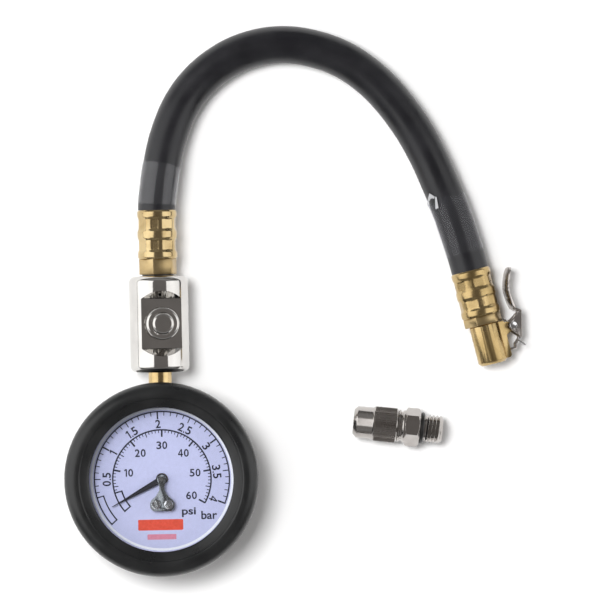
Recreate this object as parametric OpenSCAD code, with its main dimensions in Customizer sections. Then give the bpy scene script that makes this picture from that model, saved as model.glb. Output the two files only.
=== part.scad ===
// Tyre pressure gauge in a rubber boot, with a bleed valve, a short hose, a clip-on
// chuck and a loose screw-on connector. Millimetres, +Z out of the dial, +Y from the
// gauge to the valve. The origin is on the gauge axis, on the back of the boot.

/* [Gauge] */
// Diameter of the metal case
case_d = 64; // [60:0.5:80]
// Depth of the metal case
case_h = 24.6; // [23:0.2:32]
// Wall of the metal case
case_wall = 1; // [0.6:0.1:1.6]
// Rubber outside the case, at its fullest
boot_wall = 8.2; // [6:0.2:12]
// Floor of the boot
boot_floor = 3; // [2.6:0.1:6]
// Diameter of the open window
window_d = 59.6; // [50:0.2:60]
// Thickness of the lens
lens_t = 1.6; // [1:0.1:2.4]

/* [Movement] */
// Gear module
gear_m = 0.35; // [0.3:0.01:0.36]
// Teeth of the pinion
pinion_z = 12; // [10:1:14]
// Turns of the pointer for one turn of the sector
gear_ratio = 7; // [6:1:7]
// Radius of the arbor that carries the pointer
arbor_r = 0.8; // [0.6:0.05:1]
// Length of the sector's tail, from its pivot to the link
tail_l = 7; // [6:0.2:8]

/* [Valve] */
// Diameter of the valve body
valve_d = 24.7; // [22:0.1:30]
// Length of the valve body
valve_l = 40.1; // [38:0.1:50]
// Roll of the valve body about its own axis
valve_roll = 8; // [0:1:20]
// Depth of the milled flat below the valve body's surface
flat_cut = 3.3; // [2.4:0.1:4]
// Diameter of the bleed button
button_d = 9; // [8:0.1:10]
// Travel of the bleed button
button_travel = 2; // [1:0.1:2.2]

/* [Hose] */
// Diameter of the hose
hose_d = 15.6; // [13:0.1:19]
// Length of each crimped ferrule
ferrule_l = 20.2; // [17:0.1:25]
// Width across the flats of the fittings
fitting_af = 14; // [12:0.5:17]

/* [Chuck] */
// Diameter of the chuck's barrel
chuck_d = 12.4; // [12:0.1:16]
// Radius of the socket that takes the tyre valve
socket_r = 4.1; // [3.9:0.05:4.5]
// Depth of the socket that takes the tyre valve
socket_l = 6; // [5:0.2:8]
// Thickness of the lever's sheet
lever_t = 0.9; // [0.7:0.1:1.2]
// Radius of the lever's pin
pin_r = 0.9; // [0.7:0.05:1.1]

/* [Connector] */
// Radius over the knurl of the swivel nut
nut_r = 7.15; // [6.6:0.05:8.6]
// Length of the swivel nut
nut_l = 18.4; // [15:0.2:21]
// Radius of the connector's thread
thread_r = 6; // [5:0.05:6.6]
// Length of the connector's thread
thread_l = 7.5; // [6:0.1:10]

/* [Hidden] */
$fn = 96;

// Clearances
fit = 0.04;
running = 0.07;
slip = 0.1;
gap = 0.3;
through = 1;

// Gauge, across the dial
case_r = case_d / 2;
boot_r = case_r + boot_wall;
window_r = window_d / 2;
bezel_wall = 1.5;
bezel_r = case_r + slip + bezel_wall;
dial_r = case_r - case_wall - 0.4;
dial_t = 0.6;

// Gauge, heights
case_z = boot_floor;
case_top = case_z + case_h;
gasket_t = 0.6;
lens_z = case_top + gasket_t;
bezel_z = case_top - 2.4;
bezel_front = lens_z + lens_t + bezel_wall;
lip_z = bezel_front + slip;
boot_h = lip_z + 2.6;
dial_z = case_top - 7.6;
pointer_z = dial_z + 2.6;
bridge_z = dial_z + 4;
bridge_t = 0.8;

// Stem and valve along Y
valve_r = valve_d / 2;
stem_z = valve_r + 1.65;
stem_r = 4.86;
port_r = stem_r + fit;
port_l = 10.8;
passage_r = 2;
stem_show = 4;
valve_y = boot_r + stem_show;
valve_end = valve_y + valve_l;
valve_fillet = 2.8;
seal_t = 0.6;
tail_y = valve_end + seal_t;
tail_hex_l = 6.5;
ferrule_y = tail_y + tail_hex_l;
hose_y = ferrule_y + ferrule_l;

// Bourdon tube and its socket block
tube_r = case_r - 7;
tube_z = stem_z - 3;
tube_w = 2.4;
tube_h = 9;
tube_wall = 0.4;
tube_from = 70;
tube_to = -200;
block_w = 12;
block_y = 12;
block_end = case_r - 2;
block_z = case_z + case_wall;
block_top = stem_z + 5;
ledge_y = 4;

// Movement
rear_z = stem_z - 5;
plate_t = 1;
front_z = rear_z + 8.2;
pinion_r = gear_m * pinion_z / 2;
sector_r = pinion_r * gear_ratio;
addendum = 0.75 * gear_m;
dedendum = 1.15 * gear_m;
sector_dir = 235;
sector_at = (pinion_r + sector_r) * [cos(sector_dir), sin(sector_dir)];
tail_dir = 150;
link_from = sector_at + tail_l * [cos(tail_dir), sin(tail_dir)];
tip_dir = 160;
link_to = (tube_r - 5) * [cos(tip_dir), sin(tip_dir)];
sector_pivot_r = 0.6;
sector_z = stem_z - 2;
sector_t = 1.2;
link_z = sector_z + sector_t + 0.2;
link_t = 0.8;
pillar_r = 1.3;
pillars = [[4.2, -4], [-3, 9.5], [-12.5, -17]];
mount_screws = [[-4, 6.5], [4, 6.5]];

// Bridge over the pointer
post_x = 2.6;
post_y = -10.5;
post_r = 1.6;

// Bleed valve, heights from the valve's axis
button_y = valve_y + valve_l / 2 + 0.25;
flat_w = valve_r - flat_cut;
flat_l = 20.6;
button_r = button_d / 2;
guide_low = 3;
chamber_l = 5.5;
guide_thread_r = 5;
guide_r = button_r + 2.4;
washer_t = 0.3;
guide_w = flat_w + washer_t;
guide_top = flat_w + 5.45;
pocket_w = guide_w + 0.45;
button_top = guide_top + 1.7;
button_low = pocket_w + button_travel + 0.3;
roof_w = button_top - 1.6;
plunger_r = 1.45;
head_r = 3.2;
head_w = 1;

// Ferrules and tails
hose_r = hose_d / 2;
ferrule_r = hose_r + 0.45;
band_af = ferrule_r * 2 - 1.3;
crimped_r = hose_r - 0.8;
barb_r = 4;
tail_bore_r = 1.75;
spigot_l = 10;
tail_roll = 17;

// Route of the hose: round numbers, from the valve to the chuck
route = [
    [0, 111.6, 14], [0.8, 120, 13.8], [2.4, 130, 12.6], [5, 141, 11], [9.5, 152.5, 9.6],
    [15.5, 161.8, 8.6], [23.5, 169.5, 8.1], [33.5, 175.5, 8], [45, 179, 8], [57, 179.5, 8],
    [69, 177, 8], [80.5, 172, 8], [91.5, 163.6, 8], [100.5, 153.4, 8], [107.8, 142.6, 8],
    [113.6, 131.4, 8], [118.4, 120, 8.1], [122.6, 109, 8.2], [126.6, 96.4, 8.3],
    [130, 83.8, 8.4]
];
chuck_turn = 13;
chuck_roll = -10;
chuck_dir = [sin(chuck_turn), -cos(chuck_turn), 0];
hose_sides = 12;

// Chuck, heights along its own axis from the hose
chuck_hex_z = ferrule_l - 0.7;
chuck_hex_l = 3.7;
chuck_hex_turn = -1;
chuck_z = chuck_hex_z + chuck_hex_l;
chuck_r = chuck_d / 2;
chuck_spigot_l = 4.2;
depressor_z = chuck_z + 6.8;
cavity_z = depressor_z + 1.8;
socket_z = cavity_z + 2.2;
chuck_end = socket_z + socket_l;
cavity_r = socket_r + 0.5;
lug_w = 5;
lug_x = chuck_r + 1.8;
pivot_x = chuck_r + 5.2;
pivot_z = chuck_z + 3.2;
ear_r = 1.6;
coil_gap = 2.3;
claw_z = socket_z + 1.75;
claw_w = 3;
claw_slot = 4.4;
tab_w = 10;
cheek_w = lug_w + 2 * gap;
web_w = cheek_w + 2 * lever_t;

// Connector, heights along its own axis from its nose
nut_bore_l = 7.5;
flange_z = nut_bore_l + 2.1;
flange_r = socket_r + 1;
lip_t = 2.4;
neck_r = 3.4;
collar_z = nut_l + slip;
collar_l = 3;
connector_hex_l = 6.1;
groove_l = 2.1;
flange_end = nut_l - lip_t - gap;
ring_r = 0.75;
groove_r = thread_r - 0.95;
hex_z = collar_z + collar_l;
groove_z = hex_z + connector_hex_l;
thread_z = groove_z + groove_l;
connector_l = thread_z + thread_l;
connector_roll = 8;
connector_lift = fitting_af / 2 / cos(30) * cos(30 - connector_roll) + 0.1;
connector_at = [80.1, 22, max(connector_lift, nut_r + 0.1)];
connector_turn = -6.9;

// ---- helpers -----------------------------------------------------------------

function unit(v) = v / norm(v);

// Points of an arc, both ends included
function arc(c, r, from, to, n = 8) =
    [for (i = [0:n]) c + r * [cos(from + (to - from) * i / n), sin(from + (to - from) * i / n)]];

// A point on the smooth curve between b and c
function between(a, b, c, d, t) = 0.5 * (
    2 * b + (c - a) * t + (2 * a - 5 * b + 4 * c - d) * t * t + (3 * b - a - 3 * c + d) * t * t * t);

// Smooth curve through points, steps per stretch, with a given way in and way out
function smooth(p, steps, way_in, way_out) =
    let (
        n = len(p),
        q = concat([p[1] - 2 * norm(p[1] - p[0]) * way_in], p,
            [p[n - 2] + 2 * norm(p[n - 1] - p[n - 2]) * way_out])
    )
    concat(
        [for (i = [0:n - 2], k = [0:steps - 1]) between(q[i], q[i + 1], q[i + 2], q[i + 3], k / steps)],
        [p[n - 1]]);

// Outline of a bent strip of sheet around its centre line
function strip_side(p, i, s) =
    let (
        last = len(p) - 1,
        before = unit(p[max(i, 1)] - p[max(i, 1) - 1]),
        after = unit(p[min(i, last - 1) + 1] - p[min(i, last - 1)]),
        along = unit(before + after)
    )
    p[i] + s * [-along.y, along.x] / (along * before);
function strip(p, t) = concat(
    [for (i = [0:len(p) - 1]) strip_side(p, i, t / 2)],
    [for (i = [len(p) - 1:-1:0]) strip_side(p, i, -t / 2)]);

// Rings of points around a path
function ring(at, way, r, sides) =
    let (across = unit(cross(way, [0, 0, 1])), up = cross(across, way))
    [for (k = [0:sides - 1]) at + r * (cos(360 * k / sides) * across + sin(360 * k / sides) * up)];
function way_at(p, i, way_in, way_out) =
    i == 0 ? unit(way_in) : i == len(p) - 1 ? unit(way_out) : unit(p[i + 1] - p[i - 1]);
function rings(p, r, sides, way_in, way_out) =
    [for (i = [0:len(p) - 1]) each ring(p[i], way_at(p, i, way_in, way_out), r, sides)];
function wall_faces(count, sides, start, out) =
    [for (i = [0:count - 2], k = [0:sides - 1])
        let (
            a = start + i * sides + k,
            b = start + i * sides + (k + 1) % sides,
            c = b + sides,
            d = a + sides
        )
        each out ? [[a, b, c], [a, c, d]] : [[c, b, a], [d, c, a]]];

// Solid round wire or hose along a path
module sweep(p, r, sides, way_in, way_out) {
    n = len(p);
    polyhedron(
        rings(p, r, sides, way_in, way_out),
        concat(
            [[for (k = [sides - 1:-1:0]) k]],
            wall_faces(n, sides, 0, true),
            [[for (k = [0:sides - 1]) (n - 1) * sides + k]]),
        convexity = 8);
}

// Hollow sleeve along a path
module sleeve(p, r_out, r_in, sides, way_in, way_out) {
    n = len(p);
    inner = n * sides;
    last = (n - 1) * sides;
    polyhedron(
        concat(rings(p, r_out, sides, way_in, way_out), rings(p, r_in, sides, way_in, way_out)),
        concat(
            wall_faces(n, sides, 0, true),
            wall_faces(n, sides, inner, false),
            [for (k = [0:sides - 1]) let (j = (k + 1) % sides)
                each [[k, inner + k, inner + j], [k, inner + j, j]]],
            [for (k = [0:sides - 1]) let (j = (k + 1) % sides)
                each [[last + j, inner + last + j, inner + last + k], [last + j, inner + last + k, last + k]]]),
        convexity = 8);
}

// Coil of wire that stands on Z
module coil(r, wire, height, turns, per_turn = 12) {
    n = turns * per_turn;
    p = [for (i = [0:n]) [r * cos(360 * i / per_turn), r * sin(360 * i / per_turn), height * i / n]];
    sweep(p, wire, 8, p[1] - p[0], p[n] - p[n - 1]);
}

module ring_solid(r_out, r_in, h) {
    difference() {
        cylinder(r = r_out, h = h);
        translate([0, 0, -through]) cylinder(r = r_in, h = h + 2 * through);
    }
}

module hex(af, h) {
    cylinder(r = af / 2 / cos(30), h = h, $fn = 6);
}

// Sheet in the X-Z plane, centred on Y
module upright(w) {
    rotate([90, 0, 0]) linear_extrude(w, center = true) children();
}

// Frames of the stem and valve, of the chuck and of the connector
module stem_frame() {
    translate([0, 0, stem_z]) rotate([-90, 0, 0]) children();
}
module valve_frame() {
    translate([0, 0, stem_z]) rotate([0, valve_roll, 0]) children();
}
module button_frame() {
    valve_frame() translate([0, button_y, 0]) children();
}
module chuck_frame() {
    translate(route[len(route) - 1]) rotate([0, 0, chuck_turn]) rotate([90, 0, 0])
        rotate([0, 0, chuck_roll]) children();
}
module connector_frame() {
    translate(connector_at) rotate([0, 0, connector_turn]) rotate([0, 90, 0]) children();
}

// ---- gauge -------------------------------------------------------------------

module boot_outline() {
    foot_r = boot_r - 1.6;
    crown = 5;
    polygon(concat(
        [[0, 0]],
        arc([foot_r - 2.4, 2.4], 2.4, -90, 0, 5),
        [[boot_r, case_top - 7.6]],
        arc([boot_r - crown, boot_h - crown], crown, 0, 90, 8),
        arc([window_r + 4.6, boot_h - 1], 1, 90, 150, 4),
        [[window_r, lip_z + 0.9], [window_r, lip_z]],
        [[bezel_r + slip, lip_z], [bezel_r + slip, bezel_z - 0.2]],
        [[case_r + slip, bezel_z - 0.2], [case_r + slip, boot_floor], [0, boot_floor]]));
}

module rubber_boot() {
    color([0.16, 0.16, 0.17]) difference() {
        rotate_extrude($fn = 128) boot_outline();
        stem_frame() translate([0, 0, case_r - 2]) cylinder(r = stem_r + 1.1, h = boot_wall + 6);
        for (x = [-1, 1])
            translate([x * block_w / 4, (block_y + block_end) / 2, boot_floor - 1.7])
                cylinder(r = 2.6, h = 3);
    }
}

module gauge_case() {
    color([0.55, 0.56, 0.58]) difference() {
        translate([0, 0, case_z]) cylinder(r = case_r, h = case_h);
        translate([0, 0, case_z + case_wall]) cylinder(r = case_r - case_wall, h = case_h);
        stem_frame() translate([0, 0, case_r - 4]) cylinder(r = stem_r + 0.25, h = 8);
        for (x = [-1, 1])
            translate([x * block_w / 4, (block_y + block_end) / 2, case_z - through])
                cylinder(r = 1.2, h = 3);
    }
}

module bezel_ring() {
    seat = lens_z + lens_t;
    color([0.75, 0.76, 0.78]) rotate_extrude($fn = 128) polygon([
        [case_r + slip, bezel_z], [bezel_r, bezel_z], [bezel_r, bezel_front],
        [window_r + 0.4, bezel_front], [window_r + 0.4, seat], [case_r + slip, seat]
    ]);
}

module lens() {
    color([0.85, 0.9, 0.95, 0.35]) translate([0, 0, lens_z]) cylinder(r = case_r - 0.2, h = lens_t);
}

module lens_gasket() {
    color([0.1, 0.1, 0.1]) translate([0, 0, case_top])
        ring_solid(case_r - 0.2, window_r + 0.6, gasket_t);
}

module dial_plate() {
    color([0.85, 0.85, 0.93]) difference() {
        translate([0, 0, dial_z]) cylinder(r = dial_r, h = dial_t);
        translate([0, 0, dial_z - through]) cylinder(r = 2.5, h = 3);
        for (x = [-post_x, post_x])
            translate([x, post_y, dial_z - through]) cylinder(r = post_r + slip, h = 3);
    }
}

module bridge_posts() {
    low = front_z + plate_t;
    color([0.78, 0.68, 0.4]) for (x = [-post_x, post_x]) difference() {
        translate([x, post_y, low]) union() {
            cylinder(r = post_r + 0.7, h = dial_z - low);
            cylinder(r = post_r, h = bridge_z - low);
        }
        translate([x, post_y, dial_z]) cylinder(r = 0.95, h = bridge_z - dial_z + through);
    }
}

module pointer_bridge() {
    color([0.6, 0.61, 0.63]) difference() {
        translate([0, 0, bridge_z]) union() {
            cylinder(r = 1.95, h = bridge_t);
            linear_extrude(bridge_t) polygon([
                [-1.4, -1.3], [-1.1, -3], [-1.15, -4.6], [-2.4, -6.8], [-4.4, -8.6], [-5, -10],
                [-5, -11.2], [5, -11.2], [5, -10], [4.4, -8.6], [2.4, -6.8], [1.15, -4.6],
                [1.1, -3], [1.4, -1.3]
            ]);
            for (x = [-3, 3]) translate([x, -11.2, 0]) cylinder(r = 2, h = bridge_t);
            translate([-3, -13.2, 0]) cube([6, 2.2, bridge_t]);
        }
        translate([0, 0, bridge_z - through]) cylinder(r = arbor_r + running, h = 3);
        for (x = [-post_x, post_x]) translate([x, post_y, bridge_z - through]) cylinder(r = 1, h = 3);
    }
}

module bridge_screws() {
    color([0.7, 0.7, 0.72]) for (x = [-post_x, post_x]) translate([x, post_y, bridge_z]) difference() {
        union() {
            translate([0, 0, 0.6 - 3.4]) cylinder(r = 0.9, h = 3.4);
            translate([0, 0, bridge_t]) cylinder(r = 1.9, h = 0.8);
        }
        rotate([0, 0, x > 0 ? 35 : 110])
            translate([-3, -0.25, bridge_t + 0.4]) cube([6, 0.5, through]);
    }
}

module pointer() {
    length = window_r - 6.1;
    rest = 208.1;
    color([0.08, 0.08, 0.09]) rotate([0, 0, rest]) difference() {
        union() {
            translate([0, 0, pointer_z - 0.4]) cylinder(r = 2.25, h = 1.2);
            translate([0, 0, pointer_z]) linear_extrude(0.4) polygon([
                [0, -1.4], [length * 0.46, -0.85], [length * 0.75, -0.4], [length, -0.12],
                [length, 0.12], [length * 0.75, 0.4], [length * 0.46, 0.85], [0, 1.4]
            ]);
        }
        translate([0, 0, pointer_z - through]) cylinder(r = arbor_r, h = 3);
    }
}

// One tooth on a wheel of radius r, on +X, tapering to a narrow tip
module tooth(r, root, t) {
    thick = 1.24 * gear_m;
    linear_extrude(t) polygon([
        [r - root, -thick * 0.62], [r - 0.4 * gear_m, -thick * 0.58], [r, -thick / 2],
        [r + 0.45 * addendum, -thick * 0.36], [r + addendum, -thick * 0.18],
        [r + addendum, thick * 0.18], [r + 0.45 * addendum, thick * 0.36], [r, thick / 2],
        [r - 0.4 * gear_m, thick * 0.58], [r - root, thick * 0.62]
    ]);
}

module pinion_arbor() {
    low = rear_z + 0.2;
    top = bridge_z + bridge_t + 0.6;
    pinion_t = 3;
    color([0.72, 0.66, 0.45]) union() {
        translate([0, 0, low]) cylinder(r = arbor_r, h = top - low, $fn = 32);
        translate([0, 0, sector_z - 0.5]) cylinder(r = pinion_r - dedendum, h = pinion_t);
        for (k = [0:pinion_z - 1])
            translate([0, 0, sector_z - 0.5]) rotate([0, 0, sector_dir + (k + 0.5) * 360 / pinion_z])
                tooth(pinion_r, dedendum + 0.2, pinion_t);
        translate([0, 0, sector_z + 3]) cylinder(r = 1.3, h = 1);
    }
}

module sector_gear() {
    teeth = pinion_z * gear_ratio;
    pitch = 360 / teeth;
    facing = sector_dir - 180;
    rim = sector_r - dedendum;
    color([0.8, 0.68, 0.36]) translate([sector_at.x, sector_at.y, sector_z]) difference() {
        union() {
            rotate([0, 0, facing - 9.6 * pitch]) rotate_extrude(angle = 11.2 * pitch)
                translate([rim - 1.6, 0]) square([1.6, sector_t]);
            for (k = [-9:1])
                rotate([0, 0, facing + k * pitch]) tooth(sector_r, dedendum + 0.3, sector_t);
            for (k = [-7.4, -0.6])
                rotate([0, 0, facing + k * pitch]) translate([0, -0.9, 0]) cube([rim - 0.6, 1.8, sector_t]);
            cylinder(r = 2.4, h = sector_t);
            rotate([0, 0, tail_dir]) translate([0, -0.9, 0]) cube([tail_l, 1.8, sector_t]);
            rotate([0, 0, tail_dir]) translate([tail_l, 0, 0]) cylinder(r = 1.3, h = sector_t);
        }
        translate([0, 0, -through]) cylinder(r = 1, h = 4);
        rotate([0, 0, tail_dir]) translate([tail_l, 0, -through]) cylinder(r = 0.55, h = 4);
    }
}

module sector_arbor() {
    color([0.7, 0.7, 0.72]) translate([sector_at.x, sector_at.y, 0]) union() {
        translate([0, 0, rear_z + 0.1]) cylinder(r = sector_pivot_r, h = front_z + plate_t - rear_z - 0.2);
        translate([0, 0, rear_z + plate_t + slip])
            cylinder(r = 1, h = front_z - rear_z - plate_t - 2 * slip);
    }
}

module plate_outline() {
    polygon([[-14.5, -18], [-5, -18.5], [6, -6.5], [6, 11.5], [-6, 11.5], [-14.5, -9]]);
}

module movement_plate(z) {
    color([0.78, 0.66, 0.36]) difference() {
        translate([0, 0, z]) linear_extrude(plate_t) plate_outline();
        translate([0, 0, z - through]) cylinder(r = arbor_r + running, h = 3);
        translate([sector_at.x, sector_at.y, z - through]) cylinder(r = sector_pivot_r + running, h = 3);
        for (p = mount_screws) translate([p.x, p.y, z - through]) cylinder(r = 1.05, h = 3);
    }
}
module movement_plate_rear() {
    movement_plate(rear_z);
}
module movement_plate_front() {
    movement_plate(front_z);
}

module movement_pillars() {
    low = rear_z + plate_t;
    color([0.8, 0.7, 0.42]) for (p = pillars)
        translate([p.x, p.y, low]) cylinder(r = pillar_r, h = front_z - low);
}

module movement_screws() {
    color([0.7, 0.7, 0.72]) for (p = mount_screws) translate([p.x, p.y, rear_z]) union() {
        translate([0, 0, -1.6]) cylinder(r = 1, h = 1.6 + plate_t);
        translate([0, 0, plate_t]) cylinder(r = 1.8, h = 0.9);
    }
}

module hairspring() {
    turns = 3.4;
    steps = 84;
    r_in = 1.75;
    r_out = 4.15;
    blade = 0.2;
    function spiral(i, s) =
        (r_in + (r_out - r_in) * i / steps + s) * [cos(360 * turns * i / steps), sin(360 * turns * i / steps)];
    color([0.75, 0.6, 0.3]) translate([0, 0, sector_z + 3.2]) linear_extrude(0.6) polygon(concat(
        [for (i = [0:steps]) spiral(i, blade / 2)], [for (i = [steps:-1:0]) spiral(i, -blade / 2)]));
}

module link_bar() {
    way = link_to - link_from;
    length = norm(way);
    color([0.8, 0.7, 0.42]) translate([link_from.x, link_from.y, link_z]) rotate([0, 0, atan2(way.y, way.x)])
        difference() {
            union() {
                translate([0, -0.8, 0]) cube([length, 1.6, link_t]);
                cylinder(r = 1.2, h = link_t);
                translate([length, 0, 0]) cylinder(r = 1.2, h = link_t);
            }
            translate([0, 0, -through]) cylinder(r = 0.55, h = 3);
            translate([length, 0, -through]) cylinder(r = 0.55, h = 3);
        }
}

module link_pins() {
    top = link_z + link_t;
    color([0.7, 0.7, 0.72]) union() {
        translate([link_from.x, link_from.y, sector_z]) cylinder(r = 0.5, h = top - sector_z);
        translate([link_from.x, link_from.y, top]) cylinder(r = 1, h = 0.4);
        translate([link_to.x, link_to.y, link_z - 0.3]) cylinder(r = 0.5, h = link_t + 0.3);
        translate([link_to.x, link_to.y, top]) cylinder(r = 1, h = 0.4);
    }
}

module stadium(w, h) {
    translate([-w / 2, -(h - w) / 2]) square([w, h - w]);
    for (s = [-1, 1]) translate([0, s * (h - w) / 2]) circle(d = w, $fn = 24);
}

module tube_arc(from, to) {
    translate([0, 0, tube_z]) rotate([0, 0, from]) rotate_extrude(angle = to - from)
        translate([tube_r, 0]) children();
}

module bourdon_tube() {
    color([0.72, 0.56, 0.3]) tube_arc(tube_to, tube_from) difference() {
        stadium(tube_w, tube_h);
        stadium(tube_w - 2 * tube_wall, tube_h - 2 * tube_wall);
    }
}

module tube_tip() {
    ear_z = stem_z - 4;
    ear_t = link_z - 0.6 - ear_z;
    color([0.8, 0.7, 0.42]) union() {
        tube_arc(tube_to - 5, tube_to) stadium(tube_w, tube_h);
        translate([0, 0, ear_z]) rotate([0, 0, tube_to - 2.5])
            translate([tube_r - 5, -1, 0]) cube([5, 2, ear_t]);
        translate([0, 0, ear_z]) rotate([0, 0, tip_dir]) translate([tube_r - 5, 0, 0]) cylinder(r = 1.5, h = ear_t);
    }
}

module stem_block() {
    color([0.8, 0.68, 0.36]) difference() {
        union() {
            translate([-block_w / 2, block_y, block_z])
                cube([block_w, block_end - block_y, block_top - block_z]);
            translate([-block_w / 2, ledge_y, block_z]) cube([block_w, block_y - ledge_y, rear_z - block_z]);
            stem_frame() translate([0, 0, block_end - 2])
                cylinder(r = stem_r, h = valve_y + port_l - seal_t - slip - block_end + 2);
            tube_arc(tube_from, tube_from + 9) stadium(tube_w + 1.6, tube_h + 1.6);
        }
        stem_frame() translate([0, 0, block_y + 2.4]) cylinder(r = 1.25, h = 60, $fn = 32);
        for (x = [-1, 1])
            translate([x * block_w / 4, (block_y + block_end) / 2, block_z - through])
                cylinder(r = 1.15, h = 5);
        for (p = mount_screws) translate([p.x, p.y, rear_z - 2]) cylinder(r = 1.05, h = 3);
    }
}

module case_screws() {
    color([0.7, 0.7, 0.72]) for (x = [-1, 1])
        translate([x * block_w / 4, (block_y + block_end) / 2, case_z]) difference() {
            union() {
                translate([0, 0, -1.5]) cylinder(r = 2.2, h = 1.5);
                cylinder(r = 1.1, h = case_wall + 3.6);
            }
            translate([-3, -0.3, -through - 0.9]) cube([6, 0.6, through]);
        }
}

// ---- valve -------------------------------------------------------------------

module valve_body() {
    slope = valve_r + through - flat_w;
    color([0.78, 0.8, 0.82]) difference() {
        stem_frame() translate([0, 0, valve_y]) rotate_extrude() polygon(concat(
            [[0, 0]],
            arc([valve_r - valve_fillet, valve_fillet], valve_fillet, -90, 0),
            arc([valve_r - valve_fillet, valve_l - valve_fillet], valve_fillet, 0, 90),
            [[0, valve_l]]));
        button_frame() translate([-valve_r, 0, 0]) rotate([90, 0, 90]) linear_extrude(valve_d) polygon([
            [-flat_l / 2, flat_w], [flat_l / 2, flat_w],
            [flat_l / 2 + slope, flat_w + slope], [-flat_l / 2 - slope, flat_w + slope]
        ]);
        stem_frame() translate([0, 0, valve_y - through]) cylinder(r = port_r, h = port_l + through);
        stem_frame() translate([0, 0, valve_end - port_l]) cylinder(r = port_r, h = port_l + through);
        stem_frame() translate([0, 0, valve_y + through]) cylinder(r = passage_r, h = valve_l - 2 * through);
        button_frame() translate([0, 0, guide_low - chamber_l]) cylinder(r = head_r + 0.8, h = chamber_l + 1);
        button_frame() translate([0, 0, guide_low]) cylinder(r = guide_thread_r, h = valve_r);
    }
}

module button_guide() {
    rim = 1.2;
    color([0.8, 0.81, 0.83]) button_frame() difference() {
        union() {
            translate([0, 0, guide_low]) cylinder(r = guide_thread_r - fit, h = guide_w - guide_low);
            rotate_extrude() polygon(concat(
                [[0, guide_w], [guide_r, guide_w]],
                arc([guide_r - rim, guide_top - rim], rim, 0, 90),
                [[0, guide_top]]));
        }
        cylinder(r = plunger_r + 0.25, h = guide_top);
        translate([0, 0, pocket_w]) cylinder(r = button_r + slip, h = guide_top);
        translate([0, 0, pocket_w + 0.9]) rotate([-90, 0, 0]) cylinder(r = 0.7, h = guide_r + through);
    }
}

module guide_seal() {
    color([0.1, 0.1, 0.1]) button_frame() translate([0, 0, flat_w])
        ring_solid(guide_r - 0.3, guide_thread_r + 0.1, washer_t);
}

module bleed_button() {
    edge = 1.3;
    color([0.82, 0.83, 0.85]) button_frame() difference() {
        rotate_extrude() polygon(concat(
            [[0, button_low], [button_r, button_low]],
            arc([button_r - edge, button_top - edge], edge, 0, 90),
            [[0, button_top]]));
        translate([0, 0, button_low - through]) cylinder(r = button_r - 0.9, h = roof_w - button_low + through);
        translate([0, 0, roof_w - through]) cylinder(r = 1 + fit, h = through + 1);
    }
}

module bleed_plunger() {
    color([0.8, 0.68, 0.36]) button_frame() union() {
        translate([0, 0, head_w]) cylinder(r = head_r, h = 1);
        translate([0, 0, head_w + 1]) cylinder(r = plunger_r, h = roof_w - head_w - 1);
        translate([0, 0, roof_w]) cylinder(r = 1, h = 0.95);
    }
}

module plunger_seal() {
    color([0.1, 0.1, 0.1]) button_frame() translate([0, 0, head_w + 1])
        ring_solid(head_r - 0.2, plunger_r + 0.05, guide_low - head_w - 1.05);
}

module button_spring() {
    wire = 0.35;
    color([0.7, 0.71, 0.73]) button_frame() translate([0, 0, pocket_w + wire + 0.05])
        coil(2.6, wire, roof_w - pocket_w - 2 * wire - 0.1, 4.5);
}

module stem_seal() {
    color([0.1, 0.1, 0.1]) stem_frame() translate([0, 0, valve_y + port_l - seal_t])
        ring_solid(stem_r - 0.2, passage_r + 0.2, seal_t);
}

module tail_seal() {
    color([0.1, 0.1, 0.1]) stem_frame() translate([0, 0, valve_end])
        ring_solid(fitting_af / 2 - 0.4, port_r + 0.1, seal_t);
}

// ---- hose and its ends ---------------------------------------------------------

// Hex tail: the spigot points down from z = 0, the barbed insert points up
module hose_tail(hex_l, spigot, turn) {
    barb_l = ferrule_l - 2.2;
    color([0.8, 0.67, 0.36]) difference() {
        union() {
            translate([0, 0, -spigot]) cylinder(r = stem_r, h = spigot);
            rotate([0, 0, turn]) hex(fitting_af, hex_l);
            translate([0, 0, hex_l]) cylinder(r = barb_r - 0.4, h = barb_l);
            for (k = [0:4])
                translate([0, 0, hex_l + 2.4 + k * 3.2]) cylinder(r1 = barb_r, r2 = barb_r - 0.4, h = 2);
        }
        translate([0, 0, -spigot - through]) cylinder(r = tail_bore_r, h = spigot + hex_l + barb_l + 2 * through);
    }
}

// Crimped ferrule: the hose enters at z = 0, the tail at the other end
module ferrule(length) {
    ring_l = 2.7;
    band_l = (length - 3 * ring_l) / 2;
    cap_t = 1.2;
    color([0.74, 0.6, 0.32]) difference() {
        union() {
            for (k = [0:2]) translate([0, 0, k * (ring_l + band_l)]) cylinder(r = ferrule_r, h = ring_l);
            for (k = [0, 1])
                translate([0, 0, ring_l + k * (ring_l + band_l)])
                    cylinder(r = band_af / 2 / cos(22.5), h = band_l, $fn = 8);
        }
        translate([0, 0, -through]) cylinder(r = crimped_r, h = length - cap_t + through);
        translate([0, 0, length - cap_t - through]) cylinder(r = barb_r + slip, h = cap_t + 2 * through);
    }
}

// Hose inside a ferrule
module hose_end(length) {
    color([0.12, 0.12, 0.13]) ring_solid(crimped_r - 0.05, barb_r + 0.05, length - 1.3);
}

module hose_tail_gauge_end() {
    stem_frame() translate([0, 0, tail_y]) hose_tail(tail_hex_l, spigot_l, tail_roll);
}

module ferrule_gauge_end() {
    stem_frame() translate([0, 0, hose_y]) rotate([180, 0, 0]) ferrule(ferrule_l);
}

module hose_ends() {
    stem_frame() translate([0, 0, hose_y]) rotate([180, 0, 0]) hose_end(ferrule_l);
    chuck_frame() hose_end(chuck_hex_z);
}

module hose() {
    line = smooth(route, 2, [0, 1, 0], chuck_dir);
    color([0.14, 0.14, 0.15]) sweep(line, hose_r, hose_sides, [0, 1, 0], chuck_dir);
}

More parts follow.
